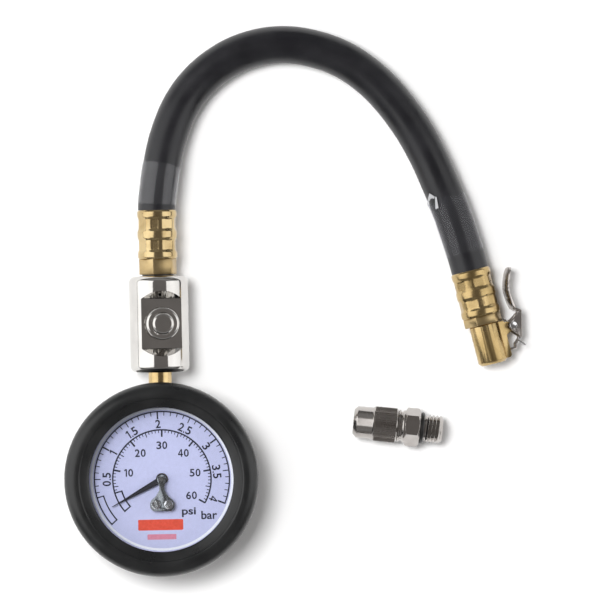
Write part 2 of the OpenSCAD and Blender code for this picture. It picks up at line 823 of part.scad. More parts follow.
// Clear film shrunk on the hose, between two steps of the smooth line
module film(first, last) {
    line = smooth(route, 2, [0, 1, 0], chuck_dir);
    part = [for (i = [first:last]) line[i]];
    color([0.8, 0.8, 0.82, 0.4]) sleeve(part, hose_r + 0.3, hose_r + 0.08, hose_sides,
        line[first + 1] - line[first - 1], line[last + 1] - line[last - 1]);
}
module film_gauge_end() {
    film(1, 4);
}
module film_chuck_end() {
    film(33, 37);
}

module ferrule_chuck_end() {
    chuck_frame() ferrule(chuck_hex_z);
}

module hose_tail_chuck_end() {
    chuck_frame() translate([0, 0, chuck_z]) rotate([180, 0, 0]) hose_tail(chuck_hex_l, chuck_spigot_l, chuck_hex_turn);
}

// ---- chuck -------------------------------------------------------------------

module chuck_body() {
    chamfer = 1.2;
    lug_z = chuck_z + 0.3;
    color([0.8, 0.66, 0.34]) chuck_frame() difference() {
        union() {
            rotate_extrude() polygon([
                [0, chuck_z], [chuck_r - 0.4, chuck_z], [chuck_r, chuck_z + 0.4],
                [chuck_r, chuck_end - chamfer], [chuck_r - chamfer, chuck_end], [0, chuck_end]
            ]);
            upright(lug_w) polygon([
                [0, lug_z], [lug_x, lug_z], [lug_x, chuck_end - 1.8], [lug_x - 0.8, chuck_end - 1],
                [0, chuck_end - 1]
            ]);
            upright(lug_w) polygon([
                [lug_x - 0.1, pivot_z - 2.2], [pivot_x, pivot_z - ear_r], [pivot_x, pivot_z + ear_r],
                [lug_x - 0.1, pivot_z + 3.4]
            ]);
            upright(lug_w) translate([pivot_x, pivot_z]) circle(r = ear_r);
        }
        translate([0, 0, chuck_z - through]) cylinder(r = port_r, h = chuck_spigot_l + through + 0.3);
        translate([0, 0, chuck_z]) cylinder(r = 1.6, h = depressor_z - chuck_z + through);
        translate([0, 0, depressor_z]) cylinder(r = cavity_r - 1, h = 3);
        translate([0, 0, cavity_z]) cylinder(r = cavity_r, h = socket_z - cavity_z);
        translate([0, 0, socket_z - through]) cylinder(r = socket_r, h = socket_l + 2 * through);
        translate([0, -claw_slot / 2, claw_z - 0.45 - lever_t / 2]) cube([lug_x + through, claw_slot, 3.4]);
        translate([lug_x + 0.3, -coil_gap / 2, pivot_z - 4]) cube([8, coil_gap, 9]);
        translate([pivot_x, 0, pivot_z]) rotate([90, 0, 0]) cylinder(r = pin_r + fit, h = lug_w + 2, center = true);
    }
}

module chuck_seal() {
    color([0.1, 0.1, 0.1]) chuck_frame() translate([0, 0, cavity_z + slip])
        ring_solid(cavity_r - slip, 1.9, socket_z - cavity_z - 2 * slip);
}

module chuck_depressor() {
    color([0.82, 0.72, 0.45]) chuck_frame() difference() {
        translate([0, 0, depressor_z]) union() {
            cylinder(r = cavity_r - 1.05, h = 1.2);
            cylinder(r = 1.1, h = socket_z - depressor_z - slip);
        }
        for (a = [0:120:240]) rotate([0, 0, a]) translate([2.3, 0, depressor_z - through]) cylinder(r = 0.6, h = 4);
    }
}

module valve_lever() {
    tab = smooth([
        [pivot_x + 4.6, pivot_z - 23.7], [pivot_x + 2.7, pivot_z - 19.7],
        [pivot_x + 1.4, pivot_z - 15.5], [pivot_x + 1.5, pivot_z - 10.9],
        [pivot_x + 2.3, pivot_z - 6.8]
    ], 3, unit([-0.5, 1]), unit([0.3, 1]));
    web = [[pivot_x + 2.3, pivot_z - 6.8], [pivot_x + 4.4, pivot_z - 5.2], [pivot_x + 2, pivot_z + 5.4]];
    claw = [
        [pivot_x + 2.2, pivot_z + 4.6], [pivot_x + 2, pivot_z + 5.4], [pivot_x - 0.4, pivot_z + 7.6],
        [pivot_x - 0.8, claw_z], [socket_r + 0.05, claw_z]
    ];
    tab_z = pivot_z - 24;
    corner = 3;
    color([0.72, 0.73, 0.75]) chuck_frame() difference() {
        union() {
            intersection() {
                upright(tab_w) polygon(strip(tab, lever_t));
                union() {
                    translate([0, -tab_w / 2, tab_z + corner]) cube([30, tab_w, 30]);
                    translate([0, -tab_w / 2 + corner, tab_z]) cube([30, tab_w - 2 * corner, 30]);
                    for (y = [-1, 1]) translate([0, y * (tab_w / 2 - corner), tab_z + corner])
                        rotate([0, 90, 0]) cylinder(r = corner, h = 30);
                }
            }
            upright(web_w) polygon(strip(web, lever_t));
            upright(claw_w) polygon(strip(claw, lever_t));
            for (y = [-1, 1]) translate([0, y * (cheek_w + lever_t) / 2, 0]) {
                upright(lever_t) polygon([
                    [pivot_x + 4.2, pivot_z - 5.2], [pivot_x + 2, pivot_z + 5.2],
                    [pivot_x - 1.2, pivot_z + 1.8], [pivot_x - 1.9, pivot_z], [pivot_x - 0.9, pivot_z - 1.8]
                ]);
                upright(lever_t) translate([pivot_x, pivot_z]) circle(r = 1.9);
            }
        }
        translate([pivot_x, 0, pivot_z]) rotate([90, 0, 0])
            cylinder(r = pin_r + running, h = web_w + 2, center = true);
    }
}

module lever_pin() {
    head_t = 0.6;
    color([0.75, 0.76, 0.78]) chuck_frame() translate([pivot_x, 0, pivot_z]) rotate([90, 0, 0]) union() {
        cylinder(r = pin_r, h = web_w + 0.1, center = true);
        for (s = [0, 180]) rotate([0, s, 0]) translate([0, 0, web_w / 2 + 0.05]) cylinder(r = pin_r + 0.6, h = head_t);
    }
}

module lever_spring() {
    wire = 0.3;
    coil_r = 1.4;
    pitch = 0.65;
    turns = 2.25;
    per_turn = 12;
    n = turns * per_turn;
    low = -pitch * turns / 2;
    turned = [for (i = [0:n]) [
        coil_r * cos(360 * i / per_turn - 90), coil_r * sin(360 * i / per_turn - 90), low + pitch * i / per_turn
    ]];
    seat_leg = [[-2.55, -3.4, low], [-0.9, -1.6, low]];
    lever_leg = [[1.5, 2.2, 1], [1, 4.6, 2.1], [1.1, 6.6, 2.1], [3.3, 9.2, 2.1]];
    path = concat(seat_leg, turned, lever_leg);
    last = len(path) - 1;
    color([0.65, 0.66, 0.68]) chuck_frame() translate([pivot_x, 0, pivot_z]) rotate([90, 0, 0]) mirror([0, 0, 1])
        sweep(path, wire, 8, path[1] - path[0], path[last] - path[last - 1]);
}

// ---- connector ---------------------------------------------------------------

module connector_body() {
    end_chamfer = 0.9;
    collar_r = fitting_af / 2 - 0.3;
    color([0.75, 0.74, 0.7]) connector_frame() difference() {
        union() {
            rotate_extrude() polygon([
                [0, flange_z], [flange_r, flange_z], [flange_r, flange_end], [neck_r, flange_end],
                [neck_r, collar_z], [collar_r, collar_z], [collar_r, groove_z - 0.5],
                [groove_r, groove_z - 0.5], [groove_r, thread_z], [thread_r, thread_z],
                [thread_r, connector_l - end_chamfer], [thread_r - end_chamfer, connector_l],
                [0, connector_l]
            ]);
            translate([0, 0, hex_z]) rotate([0, 0, 30 - connector_roll]) hex(fitting_af, connector_hex_l);
        }
        translate([0, 0, flange_z - through]) cylinder(r = passage_r, h = connector_l);
    }
}

module connector_o_ring() {
    color([0.08, 0.08, 0.08]) connector_frame() translate([0, 0, groove_z + groove_l / 2])
        rotate_extrude() translate([groove_r + ring_r, 0]) circle(r = ring_r, $fn = 32);
}

module connector_nut() {
    nose = 1.5;
    cap_l = 8.7;
    lip = nut_l - lip_t;
    color([0.78, 0.77, 0.74]) connector_frame() rotate_extrude() polygon([
        [socket_r, 0], [nut_r - nose, 0], [nut_r - 0.55, nose], [nut_r - 0.55, cap_l], [nut_r, cap_l],
        [nut_r, nut_l], [neck_r + 0.25, nut_l], [neck_r + 0.25, lip], [flange_r + gap, lip],
        [flange_r + gap, nut_bore_l], [socket_r, nut_bore_l]
    ]);
}

module connector_seal() {
    color([0.1, 0.1, 0.1]) connector_frame() translate([0, 0, nut_bore_l + 0.1])
        ring_solid(flange_r - 0.05, 1.8, flange_z - nut_bore_l - 0.1);
}

module connector_pin() {
    color([0.82, 0.72, 0.45]) connector_frame() difference() {
        translate([0, 0, nut_bore_l + 0.1]) union() {
            cylinder(r = 0.9, h = 4.4);
            translate([0, 0, 3.4]) cylinder(r = passage_r - 0.02, h = 1);
        }
        for (a = [0, 180]) rotate([0, 0, a]) translate([1.4, 0, flange_z]) cylinder(r = 0.35, h = 4);
    }
}

rubber_boot();
gauge_case();
bezel_ring();
lens();
lens_gasket();
dial_plate();
pointer_bridge();
bridge_posts();
bridge_screws();
pointer();
pinion_arbor();
sector_gear();
sector_arbor();
movement_plate_rear();
movement_plate_front();
movement_pillars();
movement_screws();
hairspring();
link_bar();
link_pins();
bourdon_tube();
tube_tip();
stem_block();
case_screws();
valve_body();
button_guide();
guide_seal();
bleed_button();
bleed_plunger();
plunger_seal();
button_spring();
stem_seal();
tail_seal();
hose_tail_gauge_end();
ferrule_gauge_end();
hose();
hose_ends();
film_gauge_end();
film_chuck_end();
ferrule_chuck_end();
hose_tail_chuck_end();
chuck_body();
chuck_seal();
chuck_depressor();
valve_lever();
lever_pin();
lever_spring();
connector_body();
connector_o_ring();
connector_nut();
connector_seal();
connector_pin();
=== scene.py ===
from math import cos, degrees, exp, pi, radians, sin

import bmesh
import bpy
import numpy as np
from mathutils import Matrix, Vector


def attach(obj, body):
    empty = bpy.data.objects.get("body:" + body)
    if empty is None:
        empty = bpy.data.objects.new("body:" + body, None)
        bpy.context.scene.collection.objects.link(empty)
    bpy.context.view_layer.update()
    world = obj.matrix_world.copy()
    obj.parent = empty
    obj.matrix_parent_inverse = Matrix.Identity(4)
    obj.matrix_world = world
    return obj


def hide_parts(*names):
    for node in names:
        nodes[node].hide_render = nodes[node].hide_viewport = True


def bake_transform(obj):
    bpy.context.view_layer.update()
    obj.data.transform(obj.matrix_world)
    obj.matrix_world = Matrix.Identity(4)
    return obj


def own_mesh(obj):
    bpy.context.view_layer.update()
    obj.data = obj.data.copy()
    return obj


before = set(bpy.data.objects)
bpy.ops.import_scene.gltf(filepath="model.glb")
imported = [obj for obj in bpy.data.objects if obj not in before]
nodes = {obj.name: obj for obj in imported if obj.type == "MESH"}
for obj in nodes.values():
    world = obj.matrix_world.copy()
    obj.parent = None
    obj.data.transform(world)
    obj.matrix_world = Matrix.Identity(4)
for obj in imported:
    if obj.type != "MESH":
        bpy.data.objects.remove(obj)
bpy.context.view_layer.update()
print("frame:", len(nodes), "CAD nodes")

# ---- small tools

toMetres = Matrix.Scale(0.001, 4)
toMillimetres = Matrix.Scale(1000, 4)
mergeNear = 2e-6
flatWithin = 0.6


def turnBy(axis, angle):
    return Matrix.Rotation(radians(angle), 4, axis)


def moveBy(x, y, z):
    return Matrix.Translation((x, y, z))


def smoothAndSharp(mesh, angle=35):
    mesh.polygons.foreach_set("use_smooth", [True] * len(mesh.polygons))
    mesh.set_sharp_from_angle(angle=radians(angle))


def putInScene(name, data):
    thing = bpy.data.objects.new(name, data)
    bpy.context.scene.collection.objects.link(thing)
    return thing


def meshOf(shape):
    mesh = bpy.data.meshes.new("shape")
    shape.to_mesh(mesh)
    shape.free()
    return mesh


def addPiece(name, mesh, place, material, body, stands, angle=35):
    mesh.name = name
    mesh.transform(toMetres @ place)
    mesh.materials.clear()
    mesh.materials.append(material)
    smoothAndSharp(mesh, angle)
    piece = putInScene(name, mesh)
    if body:
        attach(piece, body)
    if stands:
        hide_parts(*stands)
    return piece


def skin(rows, loop=False):
    # rows of points make a surface, and a row of one point closes it
    shape = bmesh.new()
    made = [[shape.verts.new(point) for point in row] for row in rows]
    for low, high in list(zip(made, made[1:])) + ([(made[-1], made[0])] if loop else []):
        count = max(len(low), len(high))
        for k in range(count):
            j = (k + 1) % count
            corners = [low[k % len(low)], low[j % len(low)], high[j % len(high)], high[k % len(high)]]
            corners = [c for i, c in enumerate(corners) if c not in corners[:i]]
            if len(corners) > 2:
                shape.faces.new(corners)
    bmesh.ops.recalc_face_normals(shape, faces=shape.faces)
    return meshOf(shape)


def polar(radius, angle):
    return radius * cos(angle), radius * sin(angle)


def circleRow(radius, height, steps, radii=None):
    if radii is None and radius < 1e-6:
        return [(0, 0, height)]
    around = np.linspace(0, 2 * pi, steps, endpoint=False)
    reach = np.full(steps, radius) if radii is None else radii
    return [(*polar(r, a), height) for r, a in zip(reach, around)]


def turned(profile, steps=96, loop=False):
    return skin([circleRow(r, z, steps) for r, z in profile], loop)


def arcPoints(centre, radius, start, end, count=8):
    angles = np.radians(np.linspace(start, end, count + 1))
    return [(centre[0] + radius * cos(a), centre[1] + radius * sin(a)) for a in angles]


def hexReach(flats, turn, steps):
    angles = np.degrees(np.linspace(0, 2 * pi, steps, endpoint=False)) - turn
    return flats / 2 / np.cos(np.radians((angles % 60) - 30))


def curveBetween(a, b, c, d, t):
    return 0.5 * (2 * b + (c - a) * t + (2 * a - 5 * b + 4 * c - d) * t * t
                  + (3 * b - a - 3 * c + d) * t * t * t)


def smoothLine(points, steps, wayIn=None, wayOut=None):
    points = [np.array(p, float) for p in points]
    first = points[1] - points[0]
    last = points[-1] - points[-2]
    wayIn = first if wayIn is None else np.array(wayIn) * np.linalg.norm(first)
    wayOut = last if wayOut is None else np.array(wayOut) * np.linalg.norm(last)
    full = [points[1] - 2 * wayIn] + points + [points[-2] + 2 * wayOut]
    line = [curveBetween(full[i], full[i + 1], full[i + 2], full[i + 3], k / steps)
            for i in range(len(points) - 1) for k in range(steps)]
    return np.array(line + [points[-1]])


def ringRow(at, way, radii, steps):
    way = way / np.linalg.norm(way)
    side = np.cross(way, (0, 0, 1))
    side = side / np.linalg.norm(side)
    up = np.cross(side, way)
    around = np.linspace(0, 2 * pi, steps, endpoint=False)
    reach = np.full(steps, radii) if np.isscalar(radii) else radii
    return [tuple(at + r * (cos(a) * side + sin(a) * up)) for r, a in zip(reach, around)]


def wireAlong(line, radius, steps=10):
    ways = np.gradient(line, axis=0)
    rows = [[tuple(line[0])]]
    rows += [ringRow(p, w, radius, steps) for p, w in zip(line, ways)]
    return skin(rows + [[tuple(line[-1])]])


def softened(node, width, segments, angle):
    # a merged copy of a CAD node with its edges broken
    source = nodes[node].data
    mesh = bpy.data.meshes.new(node)
    mesh.from_pydata([v.co[:] for v in source.vertices], [], [p.vertices[:] for p in source.polygons])
    shape = bmesh.new()
    shape.from_mesh(mesh)
    bmesh.ops.remove_doubles(shape, verts=shape.verts, dist=mergeNear)
    bmesh.ops.dissolve_limit(shape, angle_limit=radians(flatWithin), verts=shape.verts, edges=shape.edges)
    shape.to_mesh(mesh)
    shape.free()
    smoothAndSharp(mesh, angle)
    holder = putInScene(node + "Rough", mesh)
    bevel = holder.modifiers.new("edges", "BEVEL")
    bevel.width = width / 1000
    bevel.segments = segments
    bevel.limit_method = "ANGLE"
    bevel.angle_limit = radians(angle)
    bevel.harden_normals = True
    done = evaluated(holder)
    done.transform(toMillimetres)
    return done


def evaluated(holder):
    bpy.context.view_layer.update()
    graph = bpy.context.evaluated_depsgraph_get()
    mesh = bpy.data.meshes.new_from_object(holder.evaluated_get(graph))
    bpy.data.objects.remove(holder)
    return mesh


def cutAway(mesh, cutters):
    # cutters: (shape, where it goes) taken out one after the other
    rough = putInScene("rough", mesh)
    tools = []
    for shape, place in cutters:
        shape.transform(place)
        tool = putInScene("tool", shape)
        cut = rough.modifiers.new("cut", "BOOLEAN")
        cut.object = tool
        cut.solver = "EXACT"
        tools.append(tool)
    done = evaluated(rough)
    for tool in tools:
        bpy.data.objects.remove(tool)
    return done


# ---- camera

# frameLong is what the picture's width shows at the height of frameHeight
cameraSettings = {"over": (58.8, 72.0), "height": 2410, "frameLong": 252.1, "frameHeight": 10, "roll": -1.2,
                  "clip": 50}


def makeCamera(s):
    camera = putInScene("camera", bpy.data.cameras.new("camera"))
    camera.location = (s["over"][0] / 1000, s["over"][1] / 1000, s["height"] / 1000)
    camera.rotation_euler = (0, 0, radians(s["roll"]))
    camera.data.lens = camera.data.sensor_width * (s["height"] - s["frameHeight"]) / s["frameLong"]
    camera.data.clip_start = s["clip"] / 1000
    bpy.context.scene.camera = camera


makeCamera(cameraSettings)

# ---- frames of the parts, in millimetres

hoseRoute = [
    (0, 111.6, 14), (0.8, 120, 13.8), (2.4, 130, 12.6), (5, 141, 11), (9.5, 152.5, 9.6),
    (15.5, 161.8, 8.6), (23.5, 169.5, 8.1), (33.5, 175.5, 8), (45, 179, 8), (57, 179.5, 8),
    (69, 177, 8), (80.5, 172, 8), (91.5, 163.6, 8), (100.5, 153.4, 8), (107.8, 142.6, 8),
    (113.6, 131.4, 8), (118.4, 120, 8.1), (122.6, 109, 8.2), (126.6, 96.4, 8.3), (130, 83.8, 8.4),
]
stemHeight = 14
valveTilt = 8
chuckTurn = 13
chuckRoll = -10
connectorAt = (80.1, 22, 7.594)
connectorTurn = -6.9
stemPlace = moveBy(0, 0, stemHeight) @ turnBy("X", -90)
valvePlace = moveBy(0, 0, stemHeight) @ turnBy("Y", valveTilt)
gaugeEndPlace = stemPlace @ moveBy(0, 0, hoseRoute[0][1]) @ turnBy("X", 180)
chuckPlace = moveBy(*hoseRoute[-1]) @ turnBy("Z", chuckTurn) @ turnBy("X", 90) @ turnBy("Z", chuckRoll)
connectorPlace = moveBy(*connectorAt) @ turnBy("Z", connectorTurn) @ turnBy("Y", 90)

# ---- materials


def addNode(tree, kind, inputs=(), **settings):
    # a socket as a value makes a link
    node = tree.nodes.new(kind)
    for key, value in {**settings, **dict(inputs)}.items():
        if key not in node.inputs:
            setattr(node, key, value)
        elif isinstance(value, bpy.types.NodeSocket):
            tree.links.new(value, node.inputs[key])
        else:
            node.inputs[key].default_value = value
    return node


def startMaterial(name):
    material = bpy.data.materials.new(name)
    material.use_nodes = True
    tree = material.node_tree
    tree.nodes.clear()
    output = addNode(tree, "ShaderNodeOutputMaterial")
    shader = addNode(tree, "ShaderNodeBsdfPrincipled")
    tree.links.new(shader.outputs[0], output.inputs["Surface"])
    return material, tree, shader


def pattern(tree, scale, detail=3, stretch=(1, 1, 1), turn=0):
    # a noise in object space; scale is features per millimetre
    coords = addNode(tree, "ShaderNodeTexCoord")
    mapping = addNode(tree, "ShaderNodeMapping", vector_type="TEXTURE", Vector=coords.outputs["Object"],
                      Rotation=(0, 0, radians(turn)), Scale=stretch)
    noise = addNode(tree, "ShaderNodeTexNoise", Vector=mapping.outputs["Vector"], Scale=scale * 1000, Detail=detail)
    return noise.outputs["Fac"]


def toRange(tree, value, low, high, fromLow=0.3, fromHigh=0.7):
    node = addNode(tree, "ShaderNodeMapRange", {"Value": value, "From Min": fromLow, "From Max": fromHigh,
                                                "To Min": low, "To Max": high})
    return node.outputs["Result"]


def toColour(tree, value, stops):
    ramp = addNode(tree, "ShaderNodeValToRGB", Fac=value)
    while len(ramp.color_ramp.elements) < len(stops):
        ramp.color_ramp.elements.new(0.5)
    for element, (at, colour) in zip(ramp.color_ramp.elements, stops):
        element.position = at
        element.color = (*colour, 1)
    return ramp.outputs["Color"]


def addBump(tree, shader, heights):
    # heights: (value, depth in millimetres) stacked on each other
    last = None
    for value, depth in heights:
        bump = addNode(tree, "ShaderNodeBump", Strength=1.0, Distance=depth / 1000, Height=value)
        if last is not None:
            tree.links.new(last, bump.inputs["Normal"])
        last = bump.outputs["Normal"]
    tree.links.new(last, shader.inputs["Normal"])


def paint(tree, shader, value, stops, rough):
    tree.links.new(toColour(tree, value, stops), shader.inputs["Base Color"])
    tree.links.new(toRange(tree, value, *rough), shader.inputs["Roughness"])


# scales are features per millimetre, depths are millimetres
grains = {"metalStains": 0.12, "rubberDust": 0.09, "rubberDents": 0.25, "printWear": 0.9, "paperShade": 0.01}
hazeColour = (0.85, 0.86, 0.88, 1)


def makeMetal(name, bright, dull, rough, grain, stretch, turn, depth):
    material, tree, shader = startMaterial(name)
    shader.inputs["Metallic"].default_value = 1
    # the dull stains are the rougher ones
    paint(tree, shader, pattern(tree, grains["metalStains"], 5), [(0.35, dull), (0.62, bright)], rough[::-1])
    addBump(tree, shader, [(pattern(tree, grain, 2, stretch, turn), depth)])
    return material


def makeRubber(name, dark, light, rough, grain, depth):
    material, tree, shader = startMaterial(name)
    paint(tree, shader, pattern(tree, grains["rubberDust"], 6), [(0.38, dark), (0.66, light)], rough)
    dents = pattern(tree, grains["rubberDents"], 2)
    addBump(tree, shader, [(pattern(tree, grain, 2), depth), (dents, depth * 3)])
    return material


def makeClear(name, ior, tint, rough, crinkle, depth, haze):
    # shine over a see-through body
    material, tree, shader = startMaterial(name)
    shader.inputs["Base Color"].default_value = hazeColour
    shader.inputs["Roughness"].default_value = rough
    clear = addNode(tree, "ShaderNodeBsdfTransparent", Color=(*tint, 1))
    shine = addNode(tree, "ShaderNodeBsdfGlossy", Roughness=rough)
    # the same shine from both sides of each face, since light goes straight through
    inside = tree.nodes.new("ShaderNodeNewGeometry").outputs["Backfacing"]
    edge = addNode(tree, "ShaderNodeFresnel", IOR=toRange(tree, inside, ior, 1 / ior, 0, 1))
    over = addNode(tree, "ShaderNodeMixShader", Fac=edge.outputs["Fac"])
    last = addNode(tree, "ShaderNodeMixShader", Fac=haze)
    if depth:
        for part in (shine, edge):
            addBump(tree, part, [(pattern(tree, crinkle, 3), depth)])
    tree.links.new(clear.outputs[0], over.inputs[1])
    tree.links.new(shine.outputs[0], over.inputs[2])
    tree.links.new(over.outputs[0], last.inputs[1])
    tree.links.new(shader.outputs[0], last.inputs[2])
    tree.links.new(last.outputs[0], tree.get_output_node("ALL").inputs["Surface"])
    return material


def makePrint(name, colour, spread, rough=(0.35, 0.55)):
    material, tree, shader = startMaterial(name)
    worn = [min(1, c * spread + 0.01) for c in colour]
    paint(tree, shader, pattern(tree, grains["printWear"], 4), [(0.35, colour), (0.7, worn)], rough)
    return material


bootRubber = makeRubber("bootRubber", (0.0075, 0.008, 0.0085), (0.013, 0.0135, 0.014), (0.24, 0.4), 2.2, 0.02)
hoseRubber = makeRubber("hoseRubber", (0.0065, 0.0065, 0.0085), (0.012, 0.012, 0.0145), (0.28, 0.42), 1.6, 0.012)
sealRubber = makeRubber("sealRubber", (0.006, 0.006, 0.006), (0.012, 0.012, 0.012), (0.3, 0.42), 3.0, 0.006)
valveChrome = makeMetal("valveChrome", (0.66, 0.645, 0.62), (0.6, 0.585, 0.565), (0.06, 0.1),
                        1.2, (1, 1, 1), 0, 0.0002)
connectorNickel = makeMetal("connectorNickel", (0.5, 0.475, 0.455), (0.42, 0.395, 0.375), (0.16, 0.26),
                            6, (1, 8, 8), connectorTurn, 0.001)
knurlNickel = makeMetal("knurlNickel", (0.46, 0.425, 0.4), (0.34, 0.31, 0.29), (0.2, 0.34),
                        6, (6, 1, 1), connectorTurn, 0.001)
leverNickel = makeMetal("leverNickel", (0.6, 0.565, 0.54), (0.5, 0.46, 0.43), (0.2, 0.34),
                        5, (1, 8, 1), chuckTurn, 0.002)
springSteel = makeMetal("springSteel", (0.74, 0.74, 0.75), (0.56, 0.56, 0.57), (0.12, 0.25), 5, (1, 1, 1), 0, 0.001)
bridgeSteel = makeMetal("bridgeSteel", (0.3, 0.315, 0.33), (0.22, 0.232, 0.245), (0.2, 0.32), 7, (8, 1, 1), 0, 0.001)
stemBrass = makeMetal("stemBrass", (0.66, 0.5, 0.26), (0.5, 0.36, 0.16), (0.13, 0.24), 6, (8, 1, 8), 0, 0.002)
hoseBrass = makeMetal("hoseBrass", (0.6, 0.465, 0.25), (0.46, 0.34, 0.165), (0.14, 0.24), 5, (6, 1, 6), 0, 0.002)
chuckBrass = makeMetal("chuckBrass", (0.54, 0.4, 0.195), (0.42, 0.3, 0.13), (0.2, 0.32),
                       5, (6, 1, 6), chuckTurn, 0.003)
hexBrass = makeMetal("hexBrass", (0.58, 0.44, 0.23), (0.46, 0.335, 0.16), (0.32, 0.44), 5, (6, 1, 6), 0, 0.002)
movementBrass = makeMetal("movementBrass", (0.8, 0.63, 0.3), (0.64, 0.47, 0.2), (0.2, 0.35), 5, (6, 1, 1), 0, 0.006)
springBronze = makeMetal("springBronze", (0.66, 0.42, 0.24), (0.5, 0.3, 0.16), (0.22, 0.36), 5, (1, 1, 6), 0, 0.005)
caseSteel = makeMetal("caseSteel", (0.3, 0.3, 0.31), (0.2, 0.2, 0.21), (0.3, 0.45), 3, (1, 1, 6), 0, 0.006)
bezelSteel = makeMetal("bezelSteel", (0.62, 0.62, 0.63), (0.5, 0.5, 0.51), (0.16, 0.3), 5, (1, 1, 8), 0, 0.004)
lensGlass = makeClear("lensGlass", 1.33, (0.97, 0.98, 0.99), 0.03, 0.02, 0.0, 0.004)
wrapFilm = makeClear("wrapFilm", 1.36, (0.95, 0.95, 0.96), 0.06, 0.3, 0.05, 0.008)
looseFilm = makeClear("looseFilm", 1.17, (0.96, 0.96, 0.97), 0.1, 0.4, 0.06, 0.006)
creasedFilm = makeClear("creasedFilm", 1.5, (0.8, 0.8, 0.82), 0.2, 0.6, 0.05, 0.42)
dialPaint = makePrint("dialPaint", (0.52, 0.53, 0.745), 1.05)
dialInk = makePrint("dialInk", (0.006, 0.0065, 0.02), 1.4)
dialRed = makePrint("dialRed", (0.66, 0.07, 0.035), 1.15)
dialPink = makePrint("dialPink", (0.62, 0.22, 0.3), 1.1)
pointerPaint = makePrint("pointerPaint", (0.003, 0.003, 0.008), 1.5, (0.5, 0.7))
# a pale print, lighter than the dial: a painted highlight for the dial's edge inside the window
rimHighlightPaint = makePrint("rimHighlightPaint", (0.84, 0.845, 0.9), 1.02)
print("materials:", len(bpy.data.materials))

cadFinishes = {
    caseSteel: ["gauge_case"],
    bezelSteel: ["bezel_ring"],
    lensGlass: ["lens"],
    dialPaint: ["dial_plate"],
    sealRubber: ["lens_gasket", "guide_seal", "plunger_seal", "stem_seal", "tail_seal", "chuck_seal",
                 "connector_o_ring", "connector_seal"],
    springSteel: ["pinion_arbor", "sector_arbor", "movement_screws", "link_pins", "case_screws", "button_spring"],
    stemBrass: ["stem_block", "bleed_plunger", "connector_pin"],
    chuckBrass: ["chuck_depressor"],
    movementBrass: ["bridge_posts", "sector_gear", "movement_plate_rear",
                    "movement_plate_front", "movement_pillars", "link_bar", "tube_tip"],
    springBronze: ["hairspring", "bourdon_tube"],
}
for finish, names in cadFinishes.items():
    for name in names:
        for place in range(len(nodes[name].data.materials)):
            nodes[name].material_slots[place].material = finish

# ---- hose, films and the parts on its far end

hoseSizes = {"radius": 7.8, "sides": 64, "steps": 8, "endRadius": 6.95, "bore": 4.05, "endLengths": (18.9, 18.2)}
hoseLine = smoothLine(hoseRoute, hoseSizes["steps"], (0, 1, 0),
                      (sin(radians(chuckTurn)), -cos(radians(chuckTurn)), 0))
hoseWays = np.gradient(hoseLine, axis=0)
hoseSteps = np.linalg.norm(np.diff(hoseLine, axis=0), axis=1)
hoseReach = np.concatenate([[0], np.cumsum(hoseSteps)])


def onHose(distance):
    at = np.array([np.interp(distance, hoseReach, hoseLine[:, i]) for i in range(3)])
    way = np.array([np.interp(distance, hoseReach, hoseWays[:, i]) for i in range(3)])
    return at, way


def makeHose(s):
    rows = [[tuple(hoseLine[0])]]
    rows += [ringRow(p, w, s["radius"], s["sides"]) for p, w in zip(hoseLine, hoseWays)]
    rows += [[tuple(hoseLine[-1])]]
    return addPiece("airHose", skin(rows), Matrix(), hoseRubber, "gauge", ["hose"])


hose = makeHose(hoseSizes)


def makeHoseEnds(s):
    shape = bmesh.new()
    outer, bore = s["endRadius"], s["bore"]
    for place, length in zip((gaugeEndPlace, chuckPlace), s["endLengths"]):
        mesh = turned([(outer, 0), (outer, length), (bore, length), (bore, 0)], 64, True)
        mesh.transform(place)
        shape.from_mesh(mesh)
    return addPiece("hoseEnds", meshOf(shape), Matrix(), hoseRubber, "gauge", ["hose_ends"])


hoseEnds = makeHoseEnds(hoseSizes)

filmShape = {"sides": 128, "rows": 56, "waves": 6, "radius": 7.98, "swell": 0.05, "thick": 0.05, "settle": 14}
filmSizes = {
    "gaugeEnd": {"from": 2.6, "to": 18.9, "tears": (0.25, 0.25), "flare": 0.05, "seed": 3},
    "chuckEnd": {"from": 197.2, "to": 221.4, "tears": (2.6, 0.15), "flare": 0.5, "seed": 8},
}


def makeFilm(name, s, node, material):
    # a thin sleeve with long soft wrinkles; its torn end stands off the hose
    sides = filmShape["sides"]
    chance = np.random.default_rng(s["seed"])
    around = np.linspace(0, 2 * pi, sides, endpoint=False)
    waves = [(chance.integers(2, 9), chance.uniform(0, 6.28), chance.uniform(0.3, 1))
             for k in range(filmShape["waves"])]
    tears = [s["tears"][i] * sum(a * np.sin(n * around + p) for n, p, a in waves[3 * i:3 * i + 3]) / 5
             for i in range(2)]
    loose = 0.5 + 0.5 * np.sin(5 * around + 1.2)
    outside = []
    inside = []
    for k in range(filmShape["rows"]):
        share = k / (filmShape["rows"] - 1)
        wrinkle = sum(a * np.sin(n * around + p + 5 * share * (n % 3)) for n, p, a in waves) / 3
        flare = s["flare"] * loose * exp(-share * filmShape["settle"])
        reach = filmShape["radius"] + filmShape["swell"] * wrinkle + flare
        outer = []
        inner = []
        for j in range(sides):
            low = s["from"] + tears[0][j]
            high = s["to"] + tears[1][j]
            at, way = onHose(low + (high - low) * share)
            outer.append(ringRow(at, way, reach[j], sides)[j])
            inner.append(ringRow(at, way, reach[j] - filmShape["thick"], sides)[j])
        outside.append(outer)
        inside.append(inner)
    return addPiece(name, skin(outside + inside[::-1], True), Matrix(), material, "gauge", [node])


filmGaugeEnd = makeFilm("filmGaugeEnd", filmSizes["gaugeEnd"], "film_gauge_end", wrapFilm)
filmChuckEnd = makeFilm("filmChuckEnd", filmSizes["chuckEnd"], "film_chuck_end", looseFilm)

